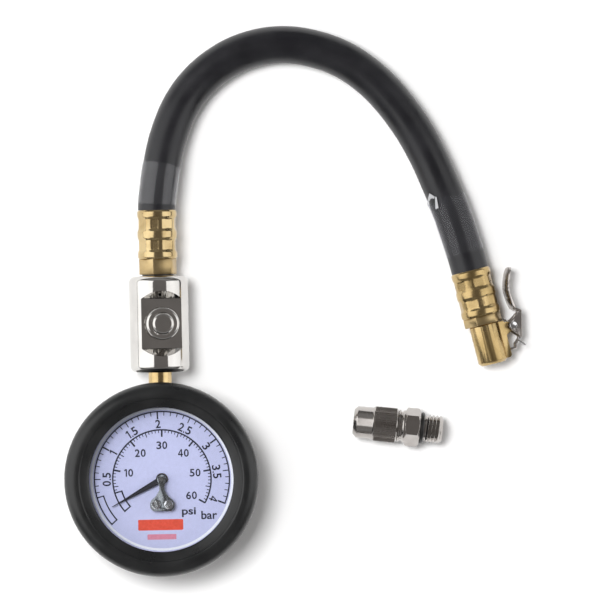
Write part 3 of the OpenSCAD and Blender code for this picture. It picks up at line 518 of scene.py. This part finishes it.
# (way along the hose, angle from its left side, radius) round each crease
flapCreases = {"large": [(199.6, 2, 8.05), (196.2, 4, 8.3), (192.6, 46, 8.5), (194.8, 58, 8.25)],
               "small": [(194.9, 59, 8.3), (195.2, 64, 8.5), (199.9, 56, 8.4), (199.9, 42, 8.1)]}


def makeFlap(creases):
    # the torn end of the film, folded up
    shape = bmesh.new()
    for corners in creases.values():
        layers = []
        for lift in (0, filmShape["thick"]):
            row = []
            for distance, angle, reach in corners:
                at, way = onHose(distance)
                row.append(shape.verts.new(ringRow(at, way, reach + lift, 360)[angle]))
            layers.append(row)
        low, high = layers
        for k in range(4):
            shape.faces.new((low[k], low[(k + 1) % 4], high[(k + 1) % 4], high[k]))
        for row in (low, high):
            shape.faces.new((row[0], row[1], row[2]))
            shape.faces.new((row[0], row[2], row[3]))
    bmesh.ops.recalc_face_normals(shape, faces=shape.faces)
    return addPiece("filmFlap", meshOf(shape), Matrix(), creasedFilm, "gauge", (), 20)


filmFlap = makeFlap(flapCreases)

ferruleSizes = {"ring": 2.7, "ringRadius": 8.25, "waist": 0.42, "flat": 7.42, "fade": 0.1, "lip": 0.06,
                "edge": 0.7, "edgeDrop": 0.3, "bore": 7.0, "tailBore": 4.1, "cap": 1.2, "sides": 192, "rows": 110}
crimps = {
    "gaugeEnd": {"length": 20.2, "jaws": 8, "width": 0.6, "turns": (96, 96)},
    "chuckEnd": {"length": 19.5, "jaws": 6, "width": 0.7, "turns": (84, 58)},
}


def softStep(low, high, value):
    share = np.clip((value - low) / (high - low), 0, 1)
    return share * share * (3 - 2 * share)


def makeFerrule(name, s, crimp, place, material, node):
    # three swelled rings, and two bands pressed flat by the crimping jaws
    length = crimp["length"]
    band = (length - 3 * s["ring"]) / 2
    around = np.linspace(0, 360, s["sides"], endpoint=False)
    pitch = 360 / crimp["jaws"]
    rows = []
    for z in np.linspace(0, length, s["rows"]):
        which = 0 if z < length / 2 else 1
        off = (around - crimp["turns"][which] + pitch / 2) % pitch - pitch / 2
        share = np.abs(off) / (pitch / 2)
        across = 1 - softStep(crimp["width"] - 0.25, crimp["width"] + 0.3, share)
        flat = s["flat"] / np.cos(np.radians(off)) + s["fade"] * across
        near = min(abs(z - (k * (s["ring"] + band) + s["ring"] / 2)) for k in range(3))
        bulge = s["ringRadius"] - s["waist"] * min(1, near / (s["ring"] * 0.9)) ** 2
        middle = abs(z - (s["ring"] + band / 2 + which * (s["ring"] + band))) / (band / 2)
        # the pressed mark is rounder at its corners than the jaw
        along = 1 - softStep(0.45, 1.05, np.maximum(middle, 0.85 * np.hypot(middle, share)))
        lip = np.exp(-((np.maximum(middle, share / 1.1) - 0.98) / 0.2) ** 2)
        ends = sum(s["edgeDrop"] * (1 - softStep(0, s["edge"], inward)) for inward in (z, length - z))
        pressed = across * along
        radii = bulge * (1 - pressed) + flat * pressed + s["lip"] * lip - ends
        rows.append(circleRow(0, z, s["sides"], np.minimum(radii, s["ringRadius"])))
    inner = [(s["tailBore"], length), (s["tailBore"], length - s["cap"]), (s["bore"], length - s["cap"]),
             (s["bore"], 0)]
    rows += [circleRow(r, z, s["sides"]) for r, z in inner]
    return addPiece(name, skin(rows, True), place, material, "gauge", [node], 60)


makeFerrule("ferruleGaugeEnd", ferruleSizes, crimps["gaugeEnd"], gaugeEndPlace, hoseBrass, "ferrule_gauge_end")
chuckFerrule = makeFerrule("ferruleChuckEnd", ferruleSizes, crimps["chuckEnd"], chuckPlace, chuckBrass,
                           "ferrule_chuck_end")


def rounded(name, node, width, material, body, segments=2, angle=32):
    return addPiece(name, softened(node, width, segments, angle), Matrix(), material, body, [node], 35)


rounded("hoseTailGaugeEnd", "hose_tail_gauge_end", 0.2, hexBrass, "gauge")
chuckTail = rounded("hoseTailChuckEnd", "hose_tail_chuck_end", 0.2, hexBrass, "gauge")
chuckBody = rounded("chuckBody", "chuck_body", 0.18, chuckBrass, "gauge")
leverPin = rounded("leverPin", "lever_pin", 0.18, springSteel, "gauge")
valveLever = rounded("valveLever", "valve_lever", 0.14, leverNickel, "lever")

springSizes = {
    "pivot": (11.4, 26.4), "wire": 0.3, "coil": 1.4, "pitch": 0.65, "turns": 2.25, "perTurn": 24,
    "seatLeg": [(-2.55, -3.4), (-0.9, -1.6)],
    "leverLeg": [(1.5, 2.2, 1), (1, 4.6, 2.1), (1.1, 6.6, 2.1), (3.3, 9.2, 2.1)],
    "bendStart": 0.4, "bendEnd": 4.6,
}


def makeLeverSpring(s):
    low = -s["pitch"] * s["turns"] / 2
    steps = int(s["turns"] * s["perTurn"])
    angles = [2 * pi * i / s["perTurn"] - pi / 2 for i in range(steps + 1)]
    coil = [(*polar(s["coil"], a), low + s["pitch"] * i / s["perTurn"]) for i, a in enumerate(angles)]
    seatLeg = [(x, y, low) for x, y in s["seatLeg"]]
    line = smoothLine(np.array(seatLeg + coil[::2] + s["leverLeg"]), 3)
    across, along = s["pivot"]
    place = chuckPlace @ moveBy(across, 0, along) @ turnBy("X", 90) @ Matrix.Scale(-1, 4, (0, 0, 1))
    world = np.array([(place @ Vector(p))[:] for p in line])
    piece = addPiece("leverSpring", wireAlong(world, s["wire"]), Matrix(), springSteel, None,
                     ["lever_spring"])
    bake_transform(piece)
    return piece


leverSpring = makeLeverSpring(springSizes)

print("hose: %.1f mm long" % hoseReach[-1])

# ---- boot

bootSizes = {
    "radius": 40.2, "height": 34, "crown": 5, "foot": 38.6, "footRound": 2.4, "rim": 1.1, "rimIn": 4.7,
    "window": 29.8, "lip": 31.4, "bezel": 33.7, "bezelLow": 25, "case": 32.1, "floor": 3, "steps": 224,
    "underside": [(0, 0), (23.6, 0), (24, 0.4), (25.4, 0.4), (25.8, 0), (30.6, 0), (31, 0.4), (32.4, 0.4), (32.8, 0)],
    "wall": [(38.95, 6.5), (39.35, 10.9), (39.83, 16.6), (40.0, 16.85), (40.02, 17.15), (39.92, 17.4),
             (40.15, 20.2), (40.2, 24)],
    "mouth": [(32.2, 33.1), (30.9, 32.72), (30.25, 32.5), (29.92, 32.28), (29.8, 31.95), (29.8, 31.6), (29.95, 31.4)],
    "stem": {"radius": 5.96, "from": 30, "to": 44},
    "screwHoles": {"radius": 2.6, "from": -0.4, "to": 3, "at": [(-3, 21, 1.7), (3, 21, 1.7)]},
}


def hole(radius, low, high, steps):
    return turned([(0, low), (radius, low), (radius, high), (0, high)], steps)


def makeBoot(s):
    soft, crown, rim = s["footRound"], s["crown"], s["rim"]
    profile = s["underside"] + arcPoints((s["foot"] - soft, soft), soft, -90, 0, 7) + s["wall"]
    profile += arcPoints((s["radius"] - crown, s["height"] - crown), crown, 0, 90, 14)
    profile += arcPoints((s["window"] + s["rimIn"], s["height"] - rim), rim, 96, 152, 5)
    profile += s["mouth"] + [(s["bezel"], s["lip"]), (s["bezel"], s["bezelLow"]), (s["case"], s["bezelLow"]),
                             (s["case"], s["floor"]), (0, s["floor"])]
    stem, screw = s["stem"], s["screwHoles"]
    cutters = [(hole(stem["radius"], stem["from"], stem["to"], 64), stemPlace)]
    cutters += [(hole(screw["radius"], screw["from"], screw["to"], 32), moveBy(*at)) for at in screw["at"]]
    mesh = cutAway(turned(profile, s["steps"]), cutters)
    addPiece("rubberBoot", mesh, Matrix(), bootRubber, "gauge", ["rubber_boot"], 42)


makeBoot(bootSizes)
print("boot done")

# ---- dial print

dialSizes = {
    "top": 20.6, "lift": 0.008, "thick": 0.02, "zero": 208.1,
    "bar": {"perUnit": -57.6, "step": 0.1, "first": 3, "last": 40, "radius": 28.0, "line": 0.56,
            "lengths": (1.7, 2.5, 3.1), "widths": (0.36, 0.42, 0.66), "middleEvery": 5, "longEvery": 10},
    "psi": {"perUnit": -3.97, "step": 1, "first": 4, "last": 60, "radius": 20.4, "line": 0.62,
            "lengths": (1.25, 2.1, 2.9), "widths": (0.34, 0.4, 0.72), "middleEvery": 5, "longEvery": 10},
}


def startTree(name, inputs):
    # inputs: the names of each kind of socket, in the order they're given
    tree = bpy.data.node_groups.new(name, "GeometryNodeTree")
    for kind, names in inputs:
        for socket in names:
            tree.interface.new_socket(socket, in_out="INPUT", socket_type="NodeSocket" + kind)
    tree.interface.new_socket("Geometry", in_out="OUTPUT", socket_type="NodeSocketGeometry")
    return tree, tree.nodes.new("NodeGroupInput").outputs, tree.nodes.new("NodeGroupOutput")


def dialTickTree():
    # ticks on an arc: every so many are longer and wider
    tree, given, result = startTree("dialTicks", [
        ("Int", ["First", "Count"]),
        ("Float", ["Zero Angle", "Step Angle", "Radius", "Short Length", "Middle Length", "Long Length",
                   "Short Width", "Middle Width", "Long Width"]),
        ("Int", ["Middle Every", "Long Every"]),
        ("Float", ["Height", "Thickness"]),
        ("Material", ["Ink"]),
    ])

    def maths(operation, a, b):
        node = addNode(tree, "ShaderNodeMath", operation=operation)
        for socket, value in zip(node.inputs, (a, b)):
            if isinstance(value, (int, float)):
                socket.default_value = value
            else:
                tree.links.new(value, socket)
        return node.outputs[0]

    def choose(test, no, yes):
        return addNode(tree, "GeometryNodeSwitch", {"Switch": test, "False": no, "True": yes},
                       input_type="FLOAT").outputs[0]

    index = maths("ADD", tree.nodes.new("GeometryNodeInputIndex").outputs[0], given["First"])
    isLong = maths("LESS_THAN", maths("MODULO", index, given["Long Every"]), 0.5)
    isMiddle = maths("LESS_THAN", maths("MODULO", index, given["Middle Every"]), 0.5)
    length, width = (choose(isLong, choose(isMiddle, given["Short " + size], given["Middle " + size]),
                            given["Long " + size]) for size in ("Length", "Width"))
    angle = maths("ADD", given["Zero Angle"], maths("MULTIPLY", index, given["Step Angle"]))
    reach = maths("SUBTRACT", given["Radius"], maths("MULTIPLY", length, 0.5))
    at = addNode(tree, "ShaderNodeCombineXYZ", X=maths("MULTIPLY", reach, maths("COSINE", angle, 0)),
                 Y=maths("MULTIPLY", reach, maths("SINE", angle, 0)), Z=given["Height"])
    turn = addNode(tree, "ShaderNodeCombineXYZ", Z=angle)
    size = addNode(tree, "ShaderNodeCombineXYZ", X=length, Y=width, Z=given["Thickness"])
    spots = addNode(tree, "GeometryNodePoints", Count=given["Count"], Position=at.outputs[0])
    block = addNode(tree, "GeometryNodeMeshCube", Size=(1, 1, 1))
    copies = addNode(tree, "GeometryNodeInstanceOnPoints", Points=spots.outputs[0], Instance=block.outputs["Mesh"],
                     Rotation=turn.outputs[0], Scale=size.outputs[0])
    finishTree(tree, copies.outputs[0], given["Ink"], result)
    return tree


def finishTree(tree, geometry, material, result):
    real = addNode(tree, "GeometryNodeRealizeInstances", Geometry=geometry)
    painted = addNode(tree, "GeometryNodeSetMaterial", Geometry=real.outputs[0], Material=material)
    tree.links.new(painted.outputs[0], result.inputs[0])


def growTree(tree, values):
    # runs a node tree once and gives back its mesh
    holder = putInScene(tree.name, bpy.data.meshes.new(tree.name))
    modifier = holder.modifiers.new(tree.name, "NODES")
    modifier.node_group = tree
    for item in tree.interface.items_tree:
        if item.in_out == "INPUT" and item.name in values:
            modifier[item.identifier] = values[item.name]
    return evaluated(holder)


def addPrint(name, mesh, ink):
    addPiece(name, mesh, Matrix(), ink, "gauge", ())


def makeTicks(name, s, scale, tree):
    step = radians(scale["perUnit"] * scale["step"])
    values = {"First": scale["first"], "Count": scale["last"] - scale["first"] + 1,
              "Zero Angle": radians(s["zero"]), "Step Angle": step, "Radius": scale["radius"],
              "Middle Every": scale["middleEvery"], "Long Every": scale["longEvery"],
              "Height": s["top"] + s["lift"] + s["thick"] / 2, "Thickness": s["thick"], "Ink": dialInk}
    for kind, length, width in zip(("Short", "Middle", "Long"), scale["lengths"], scale["widths"]):
        values[kind + " Length"] = length
        values[kind + " Width"] = width
    addPrint(name, growTree(tree, values), dialInk)


tickTree = dialTickTree()
makeTicks("dialBarTicks", dialSizes, dialSizes["bar"], tickTree)
makeTicks("dialPsiTicks", dialSizes, dialSizes["psi"], tickTree)


def flatShape(shape, outline, low, high):
    # a closed prism from a flat outline
    bottom = [shape.verts.new((x, y, low)) for x, y in outline]
    top = [shape.verts.new((x, y, high)) for x, y in outline]
    shape.faces.new(bottom[::-1])
    shape.faces.new(top)
    for k in range(len(outline)):
        j = (k + 1) % len(outline)
        shape.faces.new((bottom[k], bottom[j], top[j], top[k]))


def arcBand(shape, inner, outer, start, end, low, high, steps):
    # each stretch is its own small block, so no face is concave
    angles = np.radians(np.linspace(start, end, steps + 1))
    for a, b in zip(angles, angles[1:]):
        flatShape(shape, [polar(inner, a), polar(outer, a), polar(outer, b), polar(inner, b)], low, high)


zeroBoxes = {
    "bar": {"inner": 25.2, "outer": 28.0, "from": 195.1, "to": 221.0, "line": 0.56},
    "psi": {"inner": 17.4, "outer": 20.4, "from": 195.6, "to": 219.8, "line": 0.62},
}
pastLast = 0.4


def makeDialLines(s):
    shape = bmesh.new()
    low = s["top"] + s["lift"]
    high = low + s["thick"]
    for key, box in zeroBoxes.items():
        scale = s[key]
        end = s["zero"] + scale["perUnit"] * scale["last"] * scale["step"]
        arcBand(shape, scale["radius"] - scale["line"] / 2, scale["radius"] + scale["line"] / 2,
                end - pastLast, box["to"], low, high, 220)
    for box in zeroBoxes.values():
        half = box["line"] / 2
        arcBand(shape, box["inner"] - half, box["inner"] + half, box["from"], box["to"], low, high, 24)
        for angle in (box["from"], box["to"]):
            spread = degrees(half / box["outer"])
            arcBand(shape, box["inner"] - half, box["outer"] + half, angle - spread, angle + spread, low, high, 1)
    addPrint("dialLines", meshOf(shape), dialInk)


makeDialLines(dialSizes)

numberSizes = {
    "bar": {"labels": ["0.5", "1", "1.5", "2", "2.5", "3", "3.5", "4"], "step": 0.5, "radius": 22.9,
            "height": 3.5, "digit": 2.55},
    "psi": {"labels": ["10", "20", "30", "40", "50", "60"], "step": 10, "radius": 14.0, "height": 3.2,
            "digit": 2.42},
    "words": [("psi", 10.9, -14.0, 4.0, 5.8), ("bar", 19.3, -15.3, 3.5, 6.6)],
}


# shares of a figure's width and height; the point is in millimetres
figureShapes = {
    "bolder": 0.02, "width": 0.84, "point": 0.28, "spans": {".": 0.34, "1": 0.66},
    "4": [[(0.06, -0.5), (0.27, -0.5), (0.27, 0.5), (0.06, 0.5)],
          [(-0.42, -0.27), (0.42, -0.27), (0.42, -0.12), (-0.42, -0.12)],
          [(-0.42, -0.12), (-0.2, -0.12), (0.2, 0.5), (0.06, 0.5)]],
    "1": {"left": -0.02, "right": 0.2, "flag": 0.26, "overlap": 0.02, "flagHeights": (0.4, 0.62, 0.72)},
}


def writing(words, height, width):
    curve = bpy.data.curves.new("words", "FONT")
    curve.body = words
    curve.size = 1
    curve.offset = figureShapes["bolder"]
    curve.extrude = 0.01
    curve.resolution_u = 6
    mesh = evaluated(putInScene("words", curve))
    corners = np.array([v.co for v in mesh.vertices])
    low, high = corners.min(0), corners.max(0)
    middle = (low + high) / 2
    size = high - low
    thick = dialSizes["thick"]
    mesh.transform(Matrix.Diagonal((width / size[0], height / size[1], thick / size[2], 1))
                   @ Matrix.Translation(-Vector(middle)))
    return mesh


def figure(mark, height, digit):
    # one sign of a label, round its own middle
    if mark not in "14.":
        return writing(mark, height, digit * figureShapes["width"])
    half = dialSizes["thick"] / 2
    shape = bmesh.new()
    if mark == "4":
        for corners in figureShapes["4"]:
            flatShape(shape, [(x * digit, y * height) for x, y in corners], -half, half)
    elif mark == ".":
        dot = figureShapes["point"]
        corners = [(-1, -1), (1, -1), (1, 1), (-1, 1)]
        flatShape(shape, [(x * dot, y * dot - height / 2 + dot) for x, y in corners], -half, half)
    else:
        s = figureShapes["1"]
        left, right, top = s["left"] * digit, s["right"] * digit, height / 2
        tip, root = left - s["flag"] * digit, left + s["overlap"]
        low, under, over = (share * top for share in s["flagHeights"])
        flatShape(shape, [(left, -top), (right, -top), (right, top), (left, top)], -half, half)
        flatShape(shape, [(tip, low), (root, under), (root, top), (tip, over)], -half, half)
    return meshOf(shape)


def makeNumbers(s, dial):
    shape = bmesh.new()
    level = dial["top"] + dial["lift"] + dial["thick"] / 2
    for key in ("bar", "psi"):
        group = s[key]
        for k, label in enumerate(group["labels"]):
            angle = dial["zero"] + dial[key]["perUnit"] * group["step"] * (k + 1)
            place = moveBy(*polar(group["radius"], radians(angle)), level)
            if key == "bar":
                place = place @ turnBy("Z", angle - 90)
            spans = [group["digit"] * figureShapes["spans"].get(mark, 1) for mark in label]
            along = -sum(spans) / 2
            for mark, span in zip(label, spans):
                mesh = figure(mark, group["height"], group["digit"])
                mesh.transform(place @ moveBy(along + span / 2, 0, 0))
                shape.from_mesh(mesh)
                along += span
    for words, x, y, height, width in s["words"]:
        mesh = writing(words, height, width)
        mesh.transform(moveBy(x, y, level))
        shape.from_mesh(mesh)
    addPrint("dialNumbers", meshOf(shape), dialInk)


makeNumbers(numberSizes, dialSizes)

# each badge: middle x and y, width, height
badgeSizes = {"main": (-0.9, -19.0, 18.7, 4.5), "under": (-0.5, -24.0, 12.0, 2.2), "round": 0.12}
rimHighlightSizes = (28.75, 29.75)


def makeBadge(name, material, x, y, width, height):
    # a plain bar with round corners
    shape = bmesh.new()
    corner = min(width, height) * badgeSizes["round"]
    outline = []
    for cx, cy, start in ((1, 1, 0), (-1, 1, 90), (-1, -1, 180), (1, -1, 270)):
        centre = (x + cx * (width / 2 - corner), y + cy * (height / 2 - corner))
        outline += arcPoints(centre, corner, start, start + 90, 5)
    low = dialSizes["top"] + dialSizes["lift"]
    flatShape(shape, outline, low, low + dialSizes["thick"])
    addPrint(name, meshOf(shape), material)


# a pale ring painted round the dial's edge: a painted highlight along the window's edge, which also lifts the shade
# under the boot's lip
def makeRimHighlight(inner, outer):
    low = dialSizes["top"] + dialSizes["lift"]
    high = low + dialSizes["thick"]
    mesh = turned([(inner, low), (outer, low), (outer, high), (inner, high)], 180, True)
    addPrint("dialRimHighlight", mesh, rimHighlightPaint)


makeRimHighlight(*rimHighlightSizes)
makeBadge("dialBadge", dialRed, *badgeSizes["main"])
makeBadge("dialBadgeLine", dialPink, *badgeSizes["under"])
print("dial done")

# ---- pointer, bridge and screws

rounded("gaugePointer", "pointer", 0.08, pointerPaint, "pointer")
rounded("pointerBridge", "pointer_bridge", 0.09, bridgeSteel, "gauge", 2, 40)
rounded("bridgeScrews", "bridge_screws", 0.22, springSteel, "gauge", 3, 40)

# ---- valve

valveSizes = {"start": 44.2, "length": 40.1, "radius": 12.35, "fillet": 2.8, "flat": 9.05, "flatHalf": 10.3,
              "slope": 4.3, "button": 64.5, "port": 4.9, "portDepth": 10.8, "passage": 2.0, "chamber": 4.0,
              "chamberLow": -2.5, "guide": 5.0, "guideLow": 3.0, "springSeat": 9.85}


def makeValveBody(s):
    # a round bar with soft ends, milled flat round the button, then drilled
    r, f, length = s["radius"], s["fillet"], s["length"]
    body = turned([(0, 0)] + arcPoints((r - f, f), f, -90, 0, 12) + arcPoints((r - f, length - f), f, 0, 90, 12)
                  + [(0, length)], 256)
    along = stemPlace @ moveBy(0, 0, s["start"])
    body.transform(along)
    up = valvePlace @ moveBy(0, s["button"], 0)
    low, high = s["flat"], s["flat"] + s["slope"]
    half, wide = s["flatHalf"], s["flatHalf"] + s["slope"]
    ends = [[(x, -half, low), (x, half, low), (x, wide, high), (x, -wide, high)] for x in (-r - 1, r + 1)]
    middle = (low + high) / 2
    milled = skin([[(-r - 1, 0, middle)]] + ends + [[(r + 1, 0, middle)]])

    deep = s["portDepth"]
    drilled = [("port", -1, deep, along), ("port", length - deep, length + 1, along),
               ("passage", deep - 1, length - deep + 1, along),
               ("chamber", s["chamberLow"], s["guideLow"] + 1, up), ("guide", s["guideLow"], r, up)]
    cutters = [(milled, up)] + [(hole(s[kind], start, end, 96), place) for kind, start, end, place in drilled]
    addPiece("valveBody", cutAway(body, cutters), Matrix(), valveChrome, "gauge", ["valve_body"],
             32)


makeValveBody(valveSizes)
rounded("buttonGuide", "button_guide", 0.08, valveChrome, "gauge")
rounded("bleedButton", "bleed_button", 0.12, valveChrome, "button")
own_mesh(nodes["button_spring"])
print("valve done")

# ---- connector

connectorSizes = {"flats": 14, "hexTurn": 22, "steps": 192, "collar": 6.7, "groove": 5.05, "thread": 6.0,
                  "pitch": 1.5, "threadDepth": 0.74, "bore": 2.0, "neck": 3.4, "flange": 5.1,
                  "flangeAt": 9.6, "flangeFull": 9.8, "flangeEnd": 15.7, "collarAt": 18.5, "hexAt": 21.5,
                  "grooveAt": 27.6, "threadAt": 29.7, "length": 37.2, "hexEdge": 0.9, "hexFace": 0.05, "hexSlope": 1.5,
                  "turns": 4.1, "turnSteps": 64, "lead": 0.75, "sunk": 0.02}


def makeConnectorBody(s):
    steps = s["steps"]
    rows = []

    def plain(*points):
        for r, z in points:
            rows.append(circleRow(r, z, steps))

    root = s["thread"] - s["threadDepth"]
    collar, at, low, high = s["collar"], s["collarAt"], s["hexAt"], s["grooveAt"]
    plain((s["bore"], s["flangeAt"]), (s["flange"] - 0.2, s["flangeAt"]), (s["flange"], s["flangeFull"]),
          (s["flange"], s["flangeEnd"]), (s["neck"], s["flangeEnd"]), (s["neck"], at), (collar - 0.3, at),
          (collar, at + 0.3), (collar, at + 0.8), (collar - 0.55, at + 1.15), (collar - 0.6, at + 1.6),
          (collar - 0.2, at + 2.1), (collar, at + 2.4), (collar, low - 0.04))
    reach = hexReach(s["flats"], s["hexTurn"], steps)
    edge = s["hexEdge"]
    for z in np.concatenate([np.linspace(low, low + edge, 10), np.linspace(high - edge, high, 10)]):
        limit = s["flats"] / 2 - s["hexFace"] + s["hexSlope"] * min(z - low, high - z)
        rows.append(circleRow(0, z, steps, np.minimum(reach, limit)))
    start, end = s["threadAt"], s["length"]
    plain((s["groove"], high + 0.02), (s["groove"], start), (root, start + 0.15), (root, end - 0.8),
          (root - 0.45, end - 0.25), (root - 0.9, end), (s["bore"] + 0.4, end), (s["bore"], end - 0.4))
    addPiece("connectorBody", skin(rows, True), connectorPlace, connectorNickel, "connector",
             ["connector_body"], 24)


makeConnectorBody(connectorSizes)


def threadTree():
    # a ridge that follows a helix
    tree, given, result = startTree("screwThread", [
        ("Float", ["Turns", "Root Radius", "Length"]), ("Int", ["Steps"]), ("Float", ["Depth"]),
        ("Material", ["Metal"]),
    ])
    spiral = addNode(tree, "GeometryNodeCurveSpiral", {
        "Rotations": given["Turns"], "Start Radius": given["Root Radius"], "End Radius": given["Root Radius"],
        "Height": given["Length"], "Resolution": given["Steps"]})
    profile = addNode(tree, "GeometryNodeCurvePrimitiveCircle", Resolution=4, Radius=given["Depth"])
    upright = addNode(tree, "GeometryNodeSetCurveNormal", Curve=spiral.outputs[0])
    upright.mode = "Z_UP"
    ridge = addNode(tree, "GeometryNodeCurveToMesh", {
        "Curve": upright.outputs[0], "Profile Curve": profile.outputs[0], "Fill Caps": True})
    finishTree(tree, ridge.outputs[0], given["Metal"], result)
    return tree


def makeThread(s):
    root = s["thread"] - s["threadDepth"]
    mesh = growTree(threadTree(), {"Turns": s["turns"], "Root Radius": root, "Length": s["turns"] * s["pitch"],
                                   "Steps": s["turnSteps"], "Depth": s["threadDepth"] - s["sunk"],
                                   "Metal": connectorNickel})
    place = connectorPlace @ moveBy(0, 0, s["threadAt"] + s["lead"])
    addPiece("connectorThread", mesh, place, connectorNickel, "connector", (), 40)


makeThread(connectorSizes)

nutSizes = {"radius": 7.15, "cap": 8.7, "nose": 1.5, "length": 18.4, "socket": 4.1, "bore": 7.5,
            "ridges": 54, "ridge": 0.4, "neck": 3.65, "lip": 16.0, "flange": 5.4, "capIn": 0.55,
            "shoulder": 0.12, "band": 0.28, "knurlFrom": 0.1, "knurlShort": 0.75}


def makeNut(s):
    cap, nose, length = s["cap"], s["nose"], s["length"]
    smooth, shoulder, band = (s["radius"] - s[step] for step in ("capIn", "shoulder", "band"))
    profile = [(s["socket"], 0.25), (s["socket"] + 0.25, 0), (smooth - nose, 0), (smooth - 0.12, nose - 0.15),
               (smooth, nose + 0.1), (smooth, cap - 0.9), (smooth + 0.1, cap - 0.7), (shoulder, cap - 0.35),
               (shoulder, cap - 0.05), (band, cap), (band, length - 0.5), (s["radius"] - 0.7, length),
               (s["neck"], length), (s["neck"], s["lip"]), (s["flange"], s["lip"]), (s["flange"], s["bore"]),
               (s["socket"], s["bore"])]
    addPiece("connectorNut", turned(profile, 128, True), connectorPlace, connectorNickel,
             "connector_nut", ["connector_nut"], 30)


def knurlTree():
    # straight ridges round a cylinder, each a bar standing on its edge
    tree, given, result = startTree("straightKnurl", [
        ("Int", ["Ridges"]), ("Float", ["Radius", "Length", "Ridge Size"]), ("Material", ["Metal"]),
    ])
    bar = addNode(tree, "GeometryNodeMeshCylinder", Vertices=4, Radius=given["Ridge Size"], Depth=given["Length"])
    circle = addNode(tree, "GeometryNodeCurvePrimitiveCircle", Resolution=given["Ridges"], Radius=given["Radius"])
    spot = addNode(tree, "GeometryNodeInputPosition")
    facing = addNode(tree, "FunctionNodeAlignEulerToVector", axis="X", pivot_axis="Z", Vector=spot.outputs[0])
    copies = addNode(tree, "GeometryNodeInstanceOnPoints", Points=circle.outputs[0], Rotation=facing.outputs[0],
                     Instance=bar.outputs["Mesh"])
    finishTree(tree, copies.outputs[0], given["Metal"], result)
    return tree


def makeKnurl(s):
    length = s["length"] - s["cap"] - s["knurlShort"]
    mesh = growTree(knurlTree(), {"Ridges": s["ridges"], "Radius": s["radius"] - s["ridge"], "Length": length,
                                  "Ridge Size": s["ridge"], "Metal": knurlNickel})
    middle = s["cap"] + s["knurlFrom"] + length / 2
    addPiece("connectorKnurl", mesh, connectorPlace @ moveBy(0, 0, middle), knurlNickel,
             "connector_nut", (), 70)


makeNut(nutSizes)
makeKnurl(nutSizes)
print("connector done")

# ---- table, lights and surroundings

tableLooks = {"reach": 3, "shades": [(0.3, (0.9, 0.9, 0.9)), (0.7, (0.93, 0.93, 0.93))], "rough": 0.9, "shine": 0.1}


def makeTable(s):
    mesh = bpy.data.meshes.new("table")
    reach = s["reach"]
    mesh.from_pydata([(x * reach, y * reach, 0) for x, y in ((-1, -1), (1, -1), (1, 1), (-1, 1))], [], [(0, 1, 2, 3)])
    table = putInScene("table", mesh)
    material, tree, shader = startMaterial("tablePaper")
    shade = pattern(tree, grains["paperShade"], 3)
    tree.links.new(toColour(tree, shade, s["shades"]), shader.inputs["Base Color"])
    shader.inputs["Roughness"].default_value = s["rough"]
    shader.inputs["Specular IOR Level"].default_value = s["shine"]
    mesh.materials.append(material)


makeTable(tableLooks)

# sizes and distances of the lights are metres
lightCentre = Vector((0.06, 0.07, 0))
lightSizes = {
    "leftPanel": {"way": (-0.819, 0.1, 0.574), "away": 1.25, "size": (1.33, 1.6), "glow": 1.5, "shine": True},
    "rightPanel": {"way": (0.866, 0.05, 0.5), "away": 1.25, "size": (0.91, 1.4), "glow": 1.25, "shine": True},
    "keyLamp": {"way": (-0.22, 0.13, 0.967), "away": 1.5, "size": (0.45, 0.45), "glow": 29, "shine": False},
}


def makeLight(name, s):
    way = Vector(s["way"]).normalized()
    data = bpy.data.lights.new(name, "AREA")
    data.shape = "RECTANGLE"
    data.size, data.size_y = s["size"]
    data.energy = s["glow"] * pi * s["size"][0] * s["size"][1]
    lamp = putInScene(name, data)
    lamp.location = lightCentre + way * s["away"]
    lamp.rotation_euler = way.to_track_quat("Z", "Y").to_euler()
    lamp.visible_glossy = s["shine"]


for name, sizes in lightSizes.items():
    makeLight(name, sizes)


# (height of the sight line, colour)
skyShades = [(0.0, (0.05, 0.048, 0.046)), (0.1, (0.12, 0.115, 0.11)), (0.5, (0.3, 0.3, 0.3)),
             (0.85, (0.17, 0.159, 0.153))]


def makeSurroundings():
    # a dim room: brightest half-way up, darker overhead, darkest at the horizon
    world = bpy.data.worlds.new("room")
    bpy.context.scene.world = world
    world.use_nodes = True
    tree = world.node_tree
    tree.nodes.clear()
    output = addNode(tree, "ShaderNodeOutputWorld")
    back = addNode(tree, "ShaderNodeBackground")
    coords = addNode(tree, "ShaderNodeTexCoord")
    split = addNode(tree, "ShaderNodeSeparateXYZ", Vector=coords.outputs["Generated"])
    tree.links.new(toColour(tree, split.outputs["Z"], skyShades), back.inputs["Color"])
    tree.links.new(back.outputs[0], output.inputs["Surface"])


makeSurroundings()
bpy.context.scene.view_settings.view_transform = "Standard"
print("stage done")
